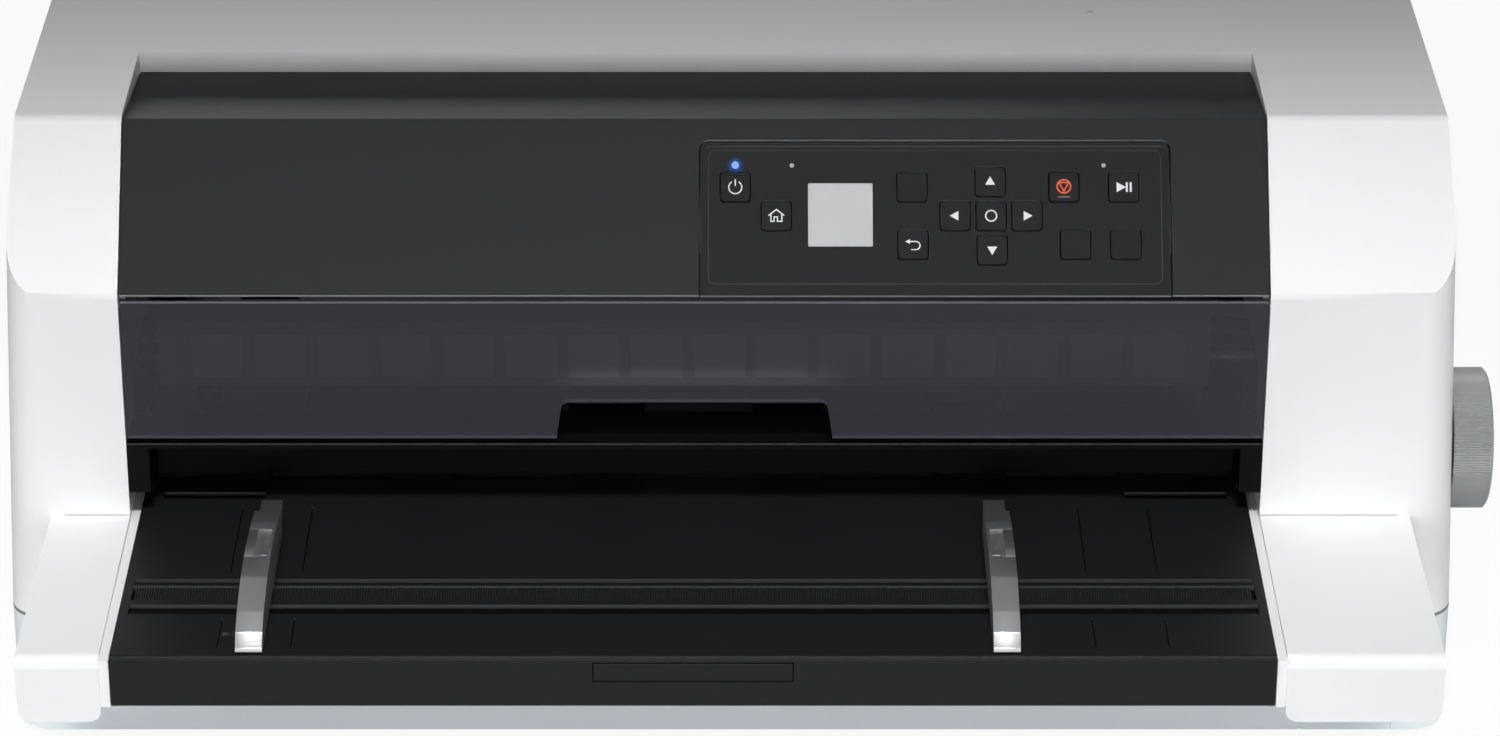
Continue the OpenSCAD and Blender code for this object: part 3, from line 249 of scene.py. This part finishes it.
def softened(node, width, material, flats=True):
    """A copy of a part's solid with small edges rounded by a width in millimetres, in its place."""
    mesh = frame["nodes"][node].data.copy()
    mesh.name = node + "_soft"
    work = bmesh.new()
    work.from_mesh(mesh)
    bmesh.ops.remove_doubles(work, verts=work.verts, dist=0.005 * MM)
    bmesh.ops.dissolve_limit(work, angle_limit=math.radians(0.6), verts=work.verts, edges=work.edges)
    work.to_mesh(mesh)
    work.free()
    mesh.materials.clear()
    mesh.materials.append(material)
    piece = bpy.data.objects.new(node + "_soft", mesh)
    bpy.context.collection.objects.link(piece)
    rounding = piece.modifiers.new("rounding", "BEVEL")
    rounding.width = width * MM
    rounding.segments = 2
    rounding.limit_method = "ANGLE"
    rounding.angle_limit = math.radians(35)
    rounding.use_clamp_overlap = True
    settle(piece)
    shade_flats(piece, flats)
    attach(piece, body_of[node])
    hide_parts(node)
    return piece


def settle(piece):
    """Turns the modifiers' result into the piece's own mesh."""
    evaluated = piece.evaluated_get(bpy.context.evaluated_depsgraph_get())
    mesh = bpy.data.meshes.new_from_object(evaluated)
    piece.modifiers.clear()
    piece.data = mesh


def shade_flats(piece, flats):
    """Smooth shading that keeps sharp edges, and with flats leaves large flat faces flat."""
    mesh = piece.data
    mesh.polygons.foreach_set("use_smooth", [True] * len(mesh.polygons))
    work = bmesh.new()
    work.from_mesh(mesh)
    for edge in work.edges:
        edge.smooth = len(edge.link_faces) == 2 and edge.calc_face_angle(0) < math.radians(50)
    work.to_mesh(mesh)
    work.free()
    if flats:
        weighted = piece.modifiers.new("weighted", "WEIGHTED_NORMAL")
        weighted.keep_sharp = True
        weighted.weight = 100
        settle(piece)


def dress(node, material):
    """Gives a part's own solid its finish."""
    slots = frame["nodes"][node].data.materials
    slots.clear()
    slots.append(material)


WHITE = (0.88, 0.885, 0.885)
white_plastic = moulding("white_moulding", WHITE, speckle=0.012, rough=0.48, gap_and_shade=seams_and_arm_shade)
for node, rounding in (("upper_housing", 0.7), ("left_arm", 0.8), ("right_arm", 0.8), ("rear_cover", 0.5)):
    softened(node, rounding, white_plastic)

# --- Base tray ----------------------------------------------------------------------------
# The base is a separate tray in a cooler light grey, moulded with the same grain. It shows as
# a strip under the feed table and along the lower sides, and carries the vents at the back.
BASE_GREY = (0.80, 0.85, 0.86)
softened("base_tray", 0.6, moulding("base_grey", BASE_GREY, speckle=0.02, rough=0.5, gap_and_shade=base_seam))

# --- Black cover --------------------------------------------------------------------------
# One bent panel: its front follows the cheeks' slope and its top sinks back to the hinge. It
# is black plastic with a visible grain, and its lower cut edges carry thin grey lines of painted highlight.
PAINTED_EDGE_HIGHLIGHT = (0.42, 0.43, 0.44, 1)


def painted_lip_highlight(finish):
    """Mask for painted highlight: one on rounded edges that face forward and down, and zero on the sloping
    front itself.
    """
    return finish.facing((0, -0.871, -0.491), 0.65, 0.82)


cover_black = Finish("cover_black", {"Specular IOR Level": 0.14})
fine = cover_black.noise(1.1 * MM)
tone = cover_black.blend(fine, (0.0128, 0.0131, 0.0140, 1), (0.0190, 0.0196, 0.0206, 1))
# Painted highlight: the lower rounded edges are coloured grey instead of black.
cover_black.feed("Base Color", cover_black.blend(painted_lip_highlight(cover_black), tone, PAINTED_EDGE_HIGHLIGHT))
cover_black.feed("Roughness", fine * 0.12 + 0.44)
cover_black.bump(fine, 0.06 * MM, 0.6)
softened("top_cover", 0.5, cover_black.material)

# --- Slot frame and crossbar --------------------------------------------------------------
# Plain black mouldings: the throat that leads the sheet in, and the bar that carries the
# control panel under the cover. They sit deep in shadow.
throat_black = Finish("throat_black", {"Specular IOR Level": 0.08})
fine = throat_black.noise(GRAIN)
tone = throat_black.blend(fine, (0.0027, 0.0027, 0.003, 1), (0.0034, 0.0034, 0.0037, 1))
# Painted highlight: edges that face up and forward are coloured lighter than the black.
painted_upper_edge_highlight = throat_black.facing((0, -0.707, 0.707), 0.85, 0.95)
throat_black.feed("Base Color", throat_black.blend(painted_upper_edge_highlight, tone, (0.035, 0.035, 0.037, 1)))
throat_black.feed("Roughness", fine * 0.1 + 0.55)
softened("slot_frame", 0.4, throat_black.material)
dress("front_crossbar", throat_black.material)

# --- Feed table ---------------------------------------------------------------------------
# The table is a ribbed plate of black plastic with a coarser grain on top. Grooves and the
# toothed rack hold the edge guides, and the sheet support pulls out of its front wall.
table_black = Finish("table_black", {"Specular IOR Level": 0.14})
fine = table_black.noise(1.2 * MM)
tone = table_black.blend(fine, (0.0078, 0.0082, 0.0086, 1), (0.0135, 0.0141, 0.0147, 1))
TABLE_TOP, TABLE_FRONT, FRONT_WALL = 110.1 * MM, -200 * MM, 4 * MM
# Painted shade: faces below the table's top, in its grooves and recesses, are coloured near black. Painted
# highlight: groove walls that face forward are coloured lighter.
inside = table_black.axis(1).math("GREATER_THAN", TABLE_FRONT + FRONT_WALL)
painted_recess_shade = table_black.axis(2).math("LESS_THAN", TABLE_TOP - 0.15 * MM) * inside
painted_groove_highlight = table_black.facing((0, -1, 0)) * inside
tone = table_black.blend(painted_recess_shade, tone, (0.002, 0.002, 0.0021, 1))
table_black.feed("Base Color", table_black.blend(painted_groove_highlight, tone, (0.07, 0.07, 0.072, 1)))
table_black.feed("Roughness", fine * 0.12 + 0.4)
table_black.bump(fine, 0.06 * MM, 0.6)
softened("feed_table", 0.4, table_black.material)
softened("sheet_support", 0.4, table_black.material)
dress("guide_rack", moulding("rack_black", (0.024, 0.0245, 0.025), speckle=0.1, rough=0.38, sheen=0.2))
dress("paper_bed", table_black.material)


def printed(name, tint):
    """Screen-printed ink: nearly flat, with slight thickness changes."""
    finish = Finish(name, {"Specular IOR Level": 0.3})
    wear = finish.noise(0.0012, 3)
    finish.feed("Base Color", finish.blend(wear, shade(tint, 0.9), shade(tint, 1.05)))
    finish.feed("Roughness", wear * 0.1 + 0.45)
    return finish.material


def raised(name, outlines, place, depth, ink, body, node):
    """Flat outlines as thin raised shapes; place(x, y, out) maps millimetres to the frame."""
    work = bmesh.new()
    for outline in outlines:
        rings = [[work.verts.new(place(x, y, rise)) for x, y in outline] for rise in (0, depth)]
        work.faces.new(rings[1])
        work.faces.new(rings[0][::-1])
        for i in range(len(outline)):
            j = (i + 1) % len(outline)
            work.faces.new((rings[0][i], rings[0][j], rings[1][j], rings[1][i]))
    bmesh.ops.recalc_face_normals(work, faces=work.faces)
    mesh = bpy.data.meshes.new(name)
    work.to_mesh(mesh)
    work.free()
    mesh.materials.append(ink)
    piece = bpy.data.objects.new(name, mesh)
    bpy.context.collection.objects.link(piece)
    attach(piece, body)


def on_table(x, y, out):
    return Vector((x * MM, y * MM, TABLE_TOP + out * MM))


raised("paper_edge_mark", [[(-217, -183.4), (-213.6, -181.7), (-217, -180)],
                           [(-213, -184.5), (-212.7, -184.5), (-212.7, -178.5), (-213, -178.5)]],
       on_table, 0.05, printed("mark_grey", (0.05, 0.05, 0.052)), "chassis", "feed_table")

# --- Edge guides --------------------------------------------------------------------------
# Two arched slides with a satin metallic lacquer, which run in the table's grooves. Each has a
# finger slot with a catch beside it, and the slot is coloured black as painted shade.
guide_grey = Finish("guide_grey", {"Metallic": 0.95})
fine = guide_grey.noise(GRAIN)
SLOTS_X, SLOT_Y = (-203.6, 102.9), -135.5
left_slot, right_slot = [close_to(guide_grey.axis(0), x, 2.7) for x in SLOTS_X]
# Painted shade: the faces in and round each finger slot are coloured near black.
painted_slot_shade = close_to(guide_grey.axis(1), SLOT_Y, 13.2) * left_slot.math("MAXIMUM", right_slot)
tone = guide_grey.blend(fine, (0.62, 0.625, 0.625, 1), (0.68, 0.685, 0.685, 1))
guide_grey.feed("Base Color", guide_grey.blend(painted_slot_shade, tone, (0.004, 0.004, 0.004, 1)))
guide_grey.feed("Roughness", fine * 0.12 + 0.3)
guide_grey.bump(fine, GRAIN_DEPTH, 0.6)
softened("left_edge_guide", 0.5, guide_grey.material, flats=False)
softened("right_edge_guide", 0.5, guide_grey.material, flats=False)

# --- Smoked window ------------------------------------------------------------------------
# A pane of dark acrylic, hinged at its top edge. The ribbon cartridge shows through it as a
# slightly lighter band. Its face has a faint pearl grain, and its upward-facing edges carry a painted
# highlight, lighter grey and opaque.
SMOKE = (0.052, 0.052, 0.065)
smoke = Finish("smoked_acrylic", {"IOR": 1.49, "Specular IOR Level": 0.25})
pearl = smoke.noise(GRAIN)
# Painted highlight: faces that point up, the pane's top edges, are coloured lighter grey and made opaque.
painted_top_edge_highlight = smoke.facing((0, 0, 1))
tone = smoke.blend(pearl, shade(SMOKE, 0.86), shade(SMOKE, 1.14))
smoke.feed("Base Color", smoke.blend(painted_top_edge_highlight, tone, (0.2, 0.2, 0.22, 1)))
smoke.feed("Roughness", pearl * 0.1 + 0.3)
smoke.feed("Alpha", (pearl * 0.04 + 0.56 + painted_top_edge_highlight).math("MINIMUM", 1.0))
smoke.bump(pearl, 0.02 * MM, 0.4)
softened("front_window", 0.4, smoke.material)

# --- Control panel ------------------------------------------------------------------------
# A black plate in the cover's notch, round at its upper corners, with square holes for the
# keys, a display and three lamps. A fine grey line of painted highlight runs along its edges that face down,
# its walls are coloured near black as painted shade, and a painted blue glow rings the power lamp.
slope = math.atan2(61.9, 47.4)
slope_foot = HOUSING_MID + Vector((0, 0.2, 213.9)) * MM
slope_up = Vector((0, math.cos(slope), math.sin(slope)))
slope_out = Vector((0, -math.sin(slope), math.cos(slope)))


def on_front(x, up, out=0.0):
    """A point on the sloping front, in millimetres from its foot."""
    return slope_foot + Vector((x * MM, 0, 0)) + slope_up * (up * MM) + slope_out * (out * MM)


def panel_finish(name, dark, light, rim_highlight, glow=0.0):
    """Black plastic whose walls off the front face are coloured near black as painted shade, with a painted
    highlight line on the edges that face down.
    """
    finish = Finish(name, {"Specular IOR Level": 0.08, "Emission Strength": glow})
    fine = finish.noise(0.8 * MM)
    # Painted shade on the walls that turn away from the front face, and a painted highlight on edges that
    # face down.
    painted_wall_shade_mask = finish.facing(slope_out, 0.9, 0.98)
    tone = finish.blend(painted_wall_shade_mask, (0.0015, 0.0015, 0.0016, 1), finish.blend(fine, dark, light))
    finish.feed("Base Color", finish.blend(painted_lip_highlight(finish), tone, rim_highlight))
    finish.feed("Roughness", fine * 0.12 + 0.36)
    finish.bump(fine, GRAIN_DEPTH, 0.6)
    return finish


def arc(centre, radius, start, end, steps=20):
    angles = [math.radians(start + (end - start) * i / steps) for i in range(steps + 1)]
    return [(centre[0] + radius * math.cos(a), centre[1] + radius * math.sin(a)) for a in angles]


def stroke(points, width, closed=False):
    """Quads along a line of points, mitred at its bends."""
    count = len(points)
    quads = []
    sides = []
    for i, (x, y) in enumerate(points):
        before = points[i - 1] if i or closed else points[0]
        after = points[(i + 1) % count] if i < count - 1 or closed else points[-1]
        into = Vector((x - before[0], y - before[1]))
        out_of = Vector((after[0] - x, after[1] - y))
        into = into.normalized() if into.length else out_of.normalized()
        out_of = out_of.normalized() if out_of.length else into
        mid = (into + out_of).normalized()
        reach = width / 2 / max(0.35, mid.dot(into))
        side = Vector((-mid.y, mid.x)) * reach
        sides.append(((x + side.x, y + side.y), (x - side.x, y - side.y)))
    for i in range(count if closed else count - 1):
        a, b = sides[i], sides[(i + 1) % count]
        quads.append([a[0], a[1], b[1], b[0]])
    return quads


panel_black = panel_finish("panel_black", (0.0085, 0.0088, 0.0094, 1), (0.0115, 0.0118, 0.0125, 1),
                           PAINTED_EDGE_HIGHLIGHT, glow=1.0)
# Painted glow: the panel itself emits a soft blue halo round the power lamp.
POWER_LAMP = (1.8, 56.3)
centred = panel_black.node("ShaderNodeVectorMath", {"operation": "DISTANCE"},
                           {0: panel_black.node("ShaderNodeTexCoord", {}, {}, out=3),
                            1: tuple(on_front(*POWER_LAMP))}, out=1)
painted_lamp_spill = panel_black.node("ShaderNodeMapRange", {"interpolation_type": "SMOOTHERSTEP"},
                         {0: centred, 1: 1.2 * MM, 2: 4.2 * MM, 3: 1.0, 4: 0.0})
panel_black.feed("Emission Color", panel_black.blend(painted_lamp_spill, (0, 0, 0, 1), (0.008, 0.05, 0.24, 1)))
softened("control_panel", 0.55, panel_black.material)

OUTLINE_LEFT, OUTLINE_RIGHT, OUTLINE_FOOT, OUTLINE_HEAD, CORNER = -9.6, 181.4, 5, 62.6, 3
outline = (arc((OUTLINE_LEFT + CORNER, OUTLINE_FOOT + CORNER), CORNER, 270, 180, 6)
           + arc((OUTLINE_LEFT + CORNER, OUTLINE_HEAD - CORNER), CORNER, 180, 90, 6)
           + arc((OUTLINE_RIGHT - CORNER, OUTLINE_HEAD - CORNER), CORNER, 90, 0, 6)
           + arc((OUTLINE_RIGHT - CORNER, OUTLINE_FOOT + CORNER), CORNER, 0, -90, 6))
# The outline marks the edge of the panel's overlay film. Its lighter grey is a painted highlight along that
# edge.
raised("panel_outline", stroke(outline, 0.35, closed=True), on_front, 0.03,
       printed("outline_highlight_grey", (0.028, 0.0285, 0.03)), "chassis", "control_panel")

display = Finish("display_glass", {"IOR": 1.5, "Coat Weight": 0.5, "Coat Roughness": 0.05})
haze = display.noise(20 * MM, 3)
display.feed("Base Color", display.blend(haze, (0.40, 0.40, 0.41, 1), (0.43, 0.43, 0.44, 1)))
display.feed("Roughness", haze * 0.1 + 0.25)
dress("display", display.material)

# The power lamp glows blue. The lamps that are off also emit a faint grey, which is painted glow.
LAMP_BLUE, LAMP_OFF_PAINTED_GLOW = (0.045, 0.22, 1.0, 1), (0.16, 0.16, 0.165, 1)
lamp_glow = Finish("lamp_glow", {"Roughness": 0.3, "Emission Strength": 1.0})
is_power = close_to(lamp_glow.axis(0), on_front(*POWER_LAMP).x / MM, 3)
lamp_glow.feed("Base Color", lamp_glow.blend(is_power, (0.2, 0.2, 0.2, 1), (0.05, 0.1, 0.3, 1)))
lamp_glow.feed("Emission Color", lamp_glow.blend(is_power, LAMP_OFF_PAINTED_GLOW, LAMP_BLUE))
dress("status_lamps", lamp_glow.material)

# --- Keys ---------------------------------------------------------------------------------
# Thirteen square keys of black plastic with slightly rounded rims. Nine carry a plain symbol
# printed in light grey, the cancel key's is orange over a grey dash, and three are bare.
# The keys' edges that face down carry a painted highlight, and their side walls carry painted shade.
key_black = panel_finish("key_black", (0.0075, 0.0078, 0.0084, 1), (0.0105, 0.0108, 0.0115, 1),
                         (0.05, 0.051, 0.053, 1)).material
keys = {"power": (1.8, 46.7), "home": (19.1, 34.3), "source": (76.3, 46.7), "back": (76.6, 21.9),
        "left": (94.4, 34.3), "ok": (109.6, 34.3), "right": (124.7, 34.3), "up": (109.3, 49.1),
        "down": (109.9, 19.6), "cancel": (140.4, 46.7), "pause": (165.6, 46.7), "load": (145, 21.9),
        "feed": (166.2, 21.9)}
for key in keys:
    softened(key + "_button", 0.38, key_black)


def triangle(centre, size, turn):
    corners = [(0.62 * size, 0), (-0.38 * size, 0.56 * size), (-0.38 * size, -0.56 * size)]
    c, s = math.cos(math.radians(turn)), math.sin(math.radians(turn))
    return [(centre[0] + x * c - y * s, centre[1] + x * s + y * c) for x, y in corners]


LINE, KEY_RISE, INK_DEPTH = 0.5, 0.4, 0.05
symbols = {
    "power": stroke(arc((0, -0.1), 2.75, 122, 418, 30), LINE) + stroke([(0, 0.5), (0, 3.4)], LINE),
    "home": stroke([(-3.3, 0.1), (0, 2.7), (3.3, 0.1)], LINE)
            + stroke([(-2.3, 0.7), (-2.3, -2.4), (-0.95, -2.4), (-0.95, -0.5), (0.45, -0.5), (0.45, -2.4),
                      (2.3, -2.4), (2.3, 0.7)], LINE),
    "back": stroke([(-1.5, 1.3), (1.2, 1.3)] + arc((1.2, -0.45), 1.75, 90, -90, 12)[1:]
                   + [(-0.9, -2.2)], LINE)
            + [[(-3.2, 1.3), (-1.3, 0.25), (-1.3, 2.35)]],
    "left": [triangle((0, 0), 3.7, 180)],
    "right": [triangle((0, 0), 3.7, 0)],
    "up": [triangle((0, 0), 3.7, 90)],
    "down": [triangle((0, 0), 3.7, -90)],
    "ok": stroke(arc((0, 0), 2.3, 0, 351, 39), 0.6, closed=True),
    "pause": [triangle((-1.5, 0), 3.9, 0), [(0.9, -2.1), (1.75, -2.1), (1.75, 2.1), (0.9, 2.1)],
              [(2.55, -2.1), (3.4, -2.1), (3.4, 2.1), (2.55, 2.1)]],
    "cancel": stroke(arc((0, 0.3), 2.85, 0, 350, 35), 0.6, closed=True)
              + stroke(triangle((0, 0.55), 3.7, -90), 0.5, closed=True),
}
ink_white = printed("ink_white", (0.86, 0.87, 0.88))
ink_orange = printed("ink_orange", (0.93, 0.15, 0.03))
ink_grey = printed("ink_grey", (0.22, 0.22, 0.22))


def print_on_key(name, key, faces, ink):
    across, up = keys[key]
    raised(name, faces, lambda x, y, out: on_front(across + x, up + y, KEY_RISE + out), INK_DEPTH, ink,
           key + "_button", key + "_button")


for key, faces in symbols.items():
    print_on_key(key + "_symbol", key, faces, ink_orange if key == "cancel" else ink_white)
print_on_key("cancel_dash", "cancel", [[(-2.6, -4.5), (2.6, -4.5), (2.6, -4.0), (-2.6, -4.0)]], ink_grey)

# --- Paper knob ---------------------------------------------------------------------------
# A hand wheel of grey plastic with fine ribs round its rim. It drives the feed rollers
# through gears on the right side plate.
dress("knob", moulding("knob_grey", (0.32, 0.33, 0.33), speckle=0.05, rough=0.42))

# --- Mark on the top ----------------------------------------------------------------------
# A small pressed chevron near the back edge of the housing's flat top.
HOUSING_TOP, MARK_DEPTH = 275.4, 0.06


def on_top(x, y, out):
    return Vector((x, y, HOUSING_TOP - MARK_DEPTH + out)) * MM


raised("top_mark", stroke([(149.4, 85.2), (151, 87.4), (152.6, 85.2)], 0.5), on_top, MARK_DEPTH,
       printed("mark_dark", (0.06, 0.062, 0.064)), "chassis", "upper_housing")

# --- Steel and other metal ----------------------------------------------------------------
# The chassis is zinc-plated sheet, the shafts and the rail are ground steel, and the print
# head is a finned aluminium casting.


def metal(name, colour, rough, grain=4 * MM, stretch=(1, 1, 1)):
    """Bare metal with a cloudy colour and gloss, drawn out along X where it is turned or ground."""
    finish = Finish(name, {"Metallic": 1.0})
    cloud = finish.noise(grain, 4, stretch)
    finish.feed("Base Color", finish.blend(cloud, shade(colour, 0.85), shade(colour, 1.1)))
    finish.feed("Roughness", cloud * 0.2 + (rough - 0.1))
    finish.bump(cloud, 0.02 * MM, 0.4)
    return finish.material


ALONG_X = (0.05, 1, 1)
sheet_steel = metal("zinc_sheet", (0.56, 0.57, 0.58), 0.42, 12 * MM)
ground_steel = metal("ground_steel", (0.62, 0.63, 0.64), 0.22, 1.5 * MM, ALONG_X)
cast_metal = metal("cast_aluminium", (0.58, 0.58, 0.58), 0.45)
warm_metal = metal("bearing_bronze", (0.62, 0.38, 0.16), 0.4)
for part in ("left_side_plate", "right_side_plate", "chassis_pan", "power_supply", "housing_screws"):
    dress(part, sheet_steel)
for part in ("carriage_rail", "rear_roller_shaft", "knob_shaft"):
    dress(part, ground_steel)
dress("front_roller_shaft", metal("blackened_steel", (0.05, 0.05, 0.052), 0.4, 1.5 * MM, ALONG_X))
for part in ("drive_pulley", "idler_pulley", "print_head"):
    dress(part, cast_metal)
for part in ("roller_bushes", "motor_pinion"):
    dress(part, warm_metal)

# --- Rubber, ribbon and dark plastic inside -----------------------------------------------
# Feet, rollers and belt are rubber. The ribbon cartridge is a long case of charcoal plastic
# that stands on the platen at its two ends, with the inked ribbon stretched between them.


def rubber(name, tone):
    finish = Finish(name, {"Specular IOR Level": 0.35})
    grit = finish.noise(0.7 * MM, 3)
    finish.feed("Base Color", finish.blend(grit, shade((tone,) * 3, 0.8), shade((tone,) * 3, 1.25)))
    finish.feed("Roughness", grit * 0.15 + 0.7)
    finish.bump(grit, 0.05 * MM, 0.6)
    return finish.material


soft_black = rubber("soft_black", 0.03)
for part in ("feet", "front_rollers", "rear_rollers", "pinch_rollers", "carriage_belt", "ink_ribbon"):
    dress(part, soft_black)
cartridge = Finish("cartridge_grey", {"Specular IOR Level": 0.3})
grit = cartridge.noise(1 * MM)
CARTRIDGE_FACE = -42.5 * MM
face = cartridge.blend(grit, (0.24, 0.24, 0.27, 1), (0.28, 0.28, 0.31, 1))
sunk_panels = cartridge.blend(grit, (0.40, 0.40, 0.45, 1), (0.46, 0.46, 0.51, 1))
behind_face = cartridge.axis(1).math("GREATER_THAN", CARTRIDGE_FACE)
cartridge.feed("Base Color", cartridge.blend(behind_face, face, sunk_panels))
cartridge.feed("Roughness", grit * 0.12 + 0.4)
dress("ribbon_cartridge", cartridge.material)
inner_plastic = moulding("inner_plastic", (0.045, 0.047, 0.05), speckle=0.1, rough=0.45)
for part in ("carriage", "belt_motor", "feed_motor", "power_inlet", "interface_ports"):
    dress(part, inner_plastic)
dress("idler_gear", moulding("gear_ivory", (0.62, 0.6, 0.52), speckle=0.04, rough=0.4))
board = Finish("lacquered_board", {"Coat Weight": 0.3})
tracks = board.node("ShaderNodeTexVoronoi", {"distance": "CHEBYCHEV"},
                    {"Vector": board.place(), "Scale": 180})
board.feed("Base Color", board.blend(tracks, (0.01, 0.12, 0.05, 1), (0.03, 0.24, 0.1, 1)))
board.feed("Roughness", tracks * 0.2 + 0.3)
dress("main_board", board.material)

# --- Small parts on the main board --------------------------------------------------------
# Chips, resistors and capacitors stand in rows on the free part of the board. A node group lays
# a grid, leaves some places out and sets a box of random size on each of the others.
SMALLEST_PART, LARGEST_PART = Vector((1.2, 0.7, 0.8)) * MM, Vector((4.2, 2.8, 2.2)) * MM


def part_rows():
    tree = bpy.data.node_groups.new("part_rows", "GeometryNodeTree")
    tree.interface.new_socket("Geometry", in_out="OUTPUT", socket_type="NodeSocketGeometry")
    for label, kind in (("Long", "Float"), ("Wide", "Float"), ("Rows", "Int"), ("Columns", "Int"),
                        ("Share", "Float"), ("Finish", "Material")):
        tree.interface.new_socket(label, in_out="INPUT", socket_type="NodeSocket" + kind)
    given = tree.nodes.new("NodeGroupInput")

    def add(kind, settings, links):
        made = tree.nodes.new(kind)
        for key, value in settings.items():
            setattr(made, key, value)
        for slot, value in links.items():
            if isinstance(value, bpy.types.NodeSocket):
                tree.links.new(value, made.inputs[slot])
            else:
                made.inputs[slot].default_value = value
        return made

    grid = add("GeometryNodeMeshGrid", {}, {"Size X": given.outputs["Long"], "Size Y": given.outputs["Wide"],
                                            "Vertices X": given.outputs["Columns"],
                                            "Vertices Y": given.outputs["Rows"]})
    kept = add("FunctionNodeRandomValue", {"data_type": "BOOLEAN"}, {6: given.outputs["Share"], 8: 7})
    size = add("FunctionNodeRandomValue", {"data_type": "FLOAT_VECTOR"},
               {0: SMALLEST_PART, 1: LARGEST_PART, 8: 11})
    box = add("GeometryNodeMeshCube", {}, {"Size": (1, 1, 1)})
    placed = add("GeometryNodeInstanceOnPoints", {},
                 {"Points": grid.outputs["Mesh"], "Selection": kept.outputs[3],
                  "Instance": box.outputs["Mesh"], "Scale": size.outputs[0]})
    solid = add("GeometryNodeRealizeInstances", {}, {0: placed.outputs[0]})
    dressed = add("GeometryNodeSetMaterial", {},
                  {"Geometry": solid.outputs[0], "Material": given.outputs["Finish"]})
    tree.links.new(dressed.outputs[0], tree.nodes.new("NodeGroupOutput").inputs[0])
    return tree


rows = part_rows()
chip_black = moulding("chip_black", (0.02, 0.02, 0.021), speckle=0.2, rough=0.5)
BOARD_TOP, PART_LIFT = 19.1, 1
left_rows = {"Long": 46 * MM, "Wide": 86 * MM, "Rows": 18, "Columns": 8, "Share": 0.7}
right_rows = {"Long": 50 * MM, "Wide": 56 * MM, "Rows": 11, "Columns": 8, "Share": 0.6}
for name, middle, values in (("left_board_parts", (-190, 198), left_rows),
                             ("right_board_parts", (-56, 180), right_rows)):
    # the node group replaces this triangle
    piece = plain_mesh(name, [(0, 0, 0), (1, 0, 0), (0, 1, 0)], [(0, 1, 2)], chip_black)
    rows_on = piece.modifiers.new("rows", "NODES")
    rows_on.node_group = rows
    for item in rows.interface.items_tree:
        if item.in_out == "INPUT":
            rows_on[item.identifier] = chip_black if item.name == "Finish" else values[item.name]
    settle(piece)
    centre = HOUSING_MID + Vector((*middle, BOARD_TOP + PART_LIFT)) * MM
    piece.data.transform(Matrix.Translation(centre))
    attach(piece, "chassis")
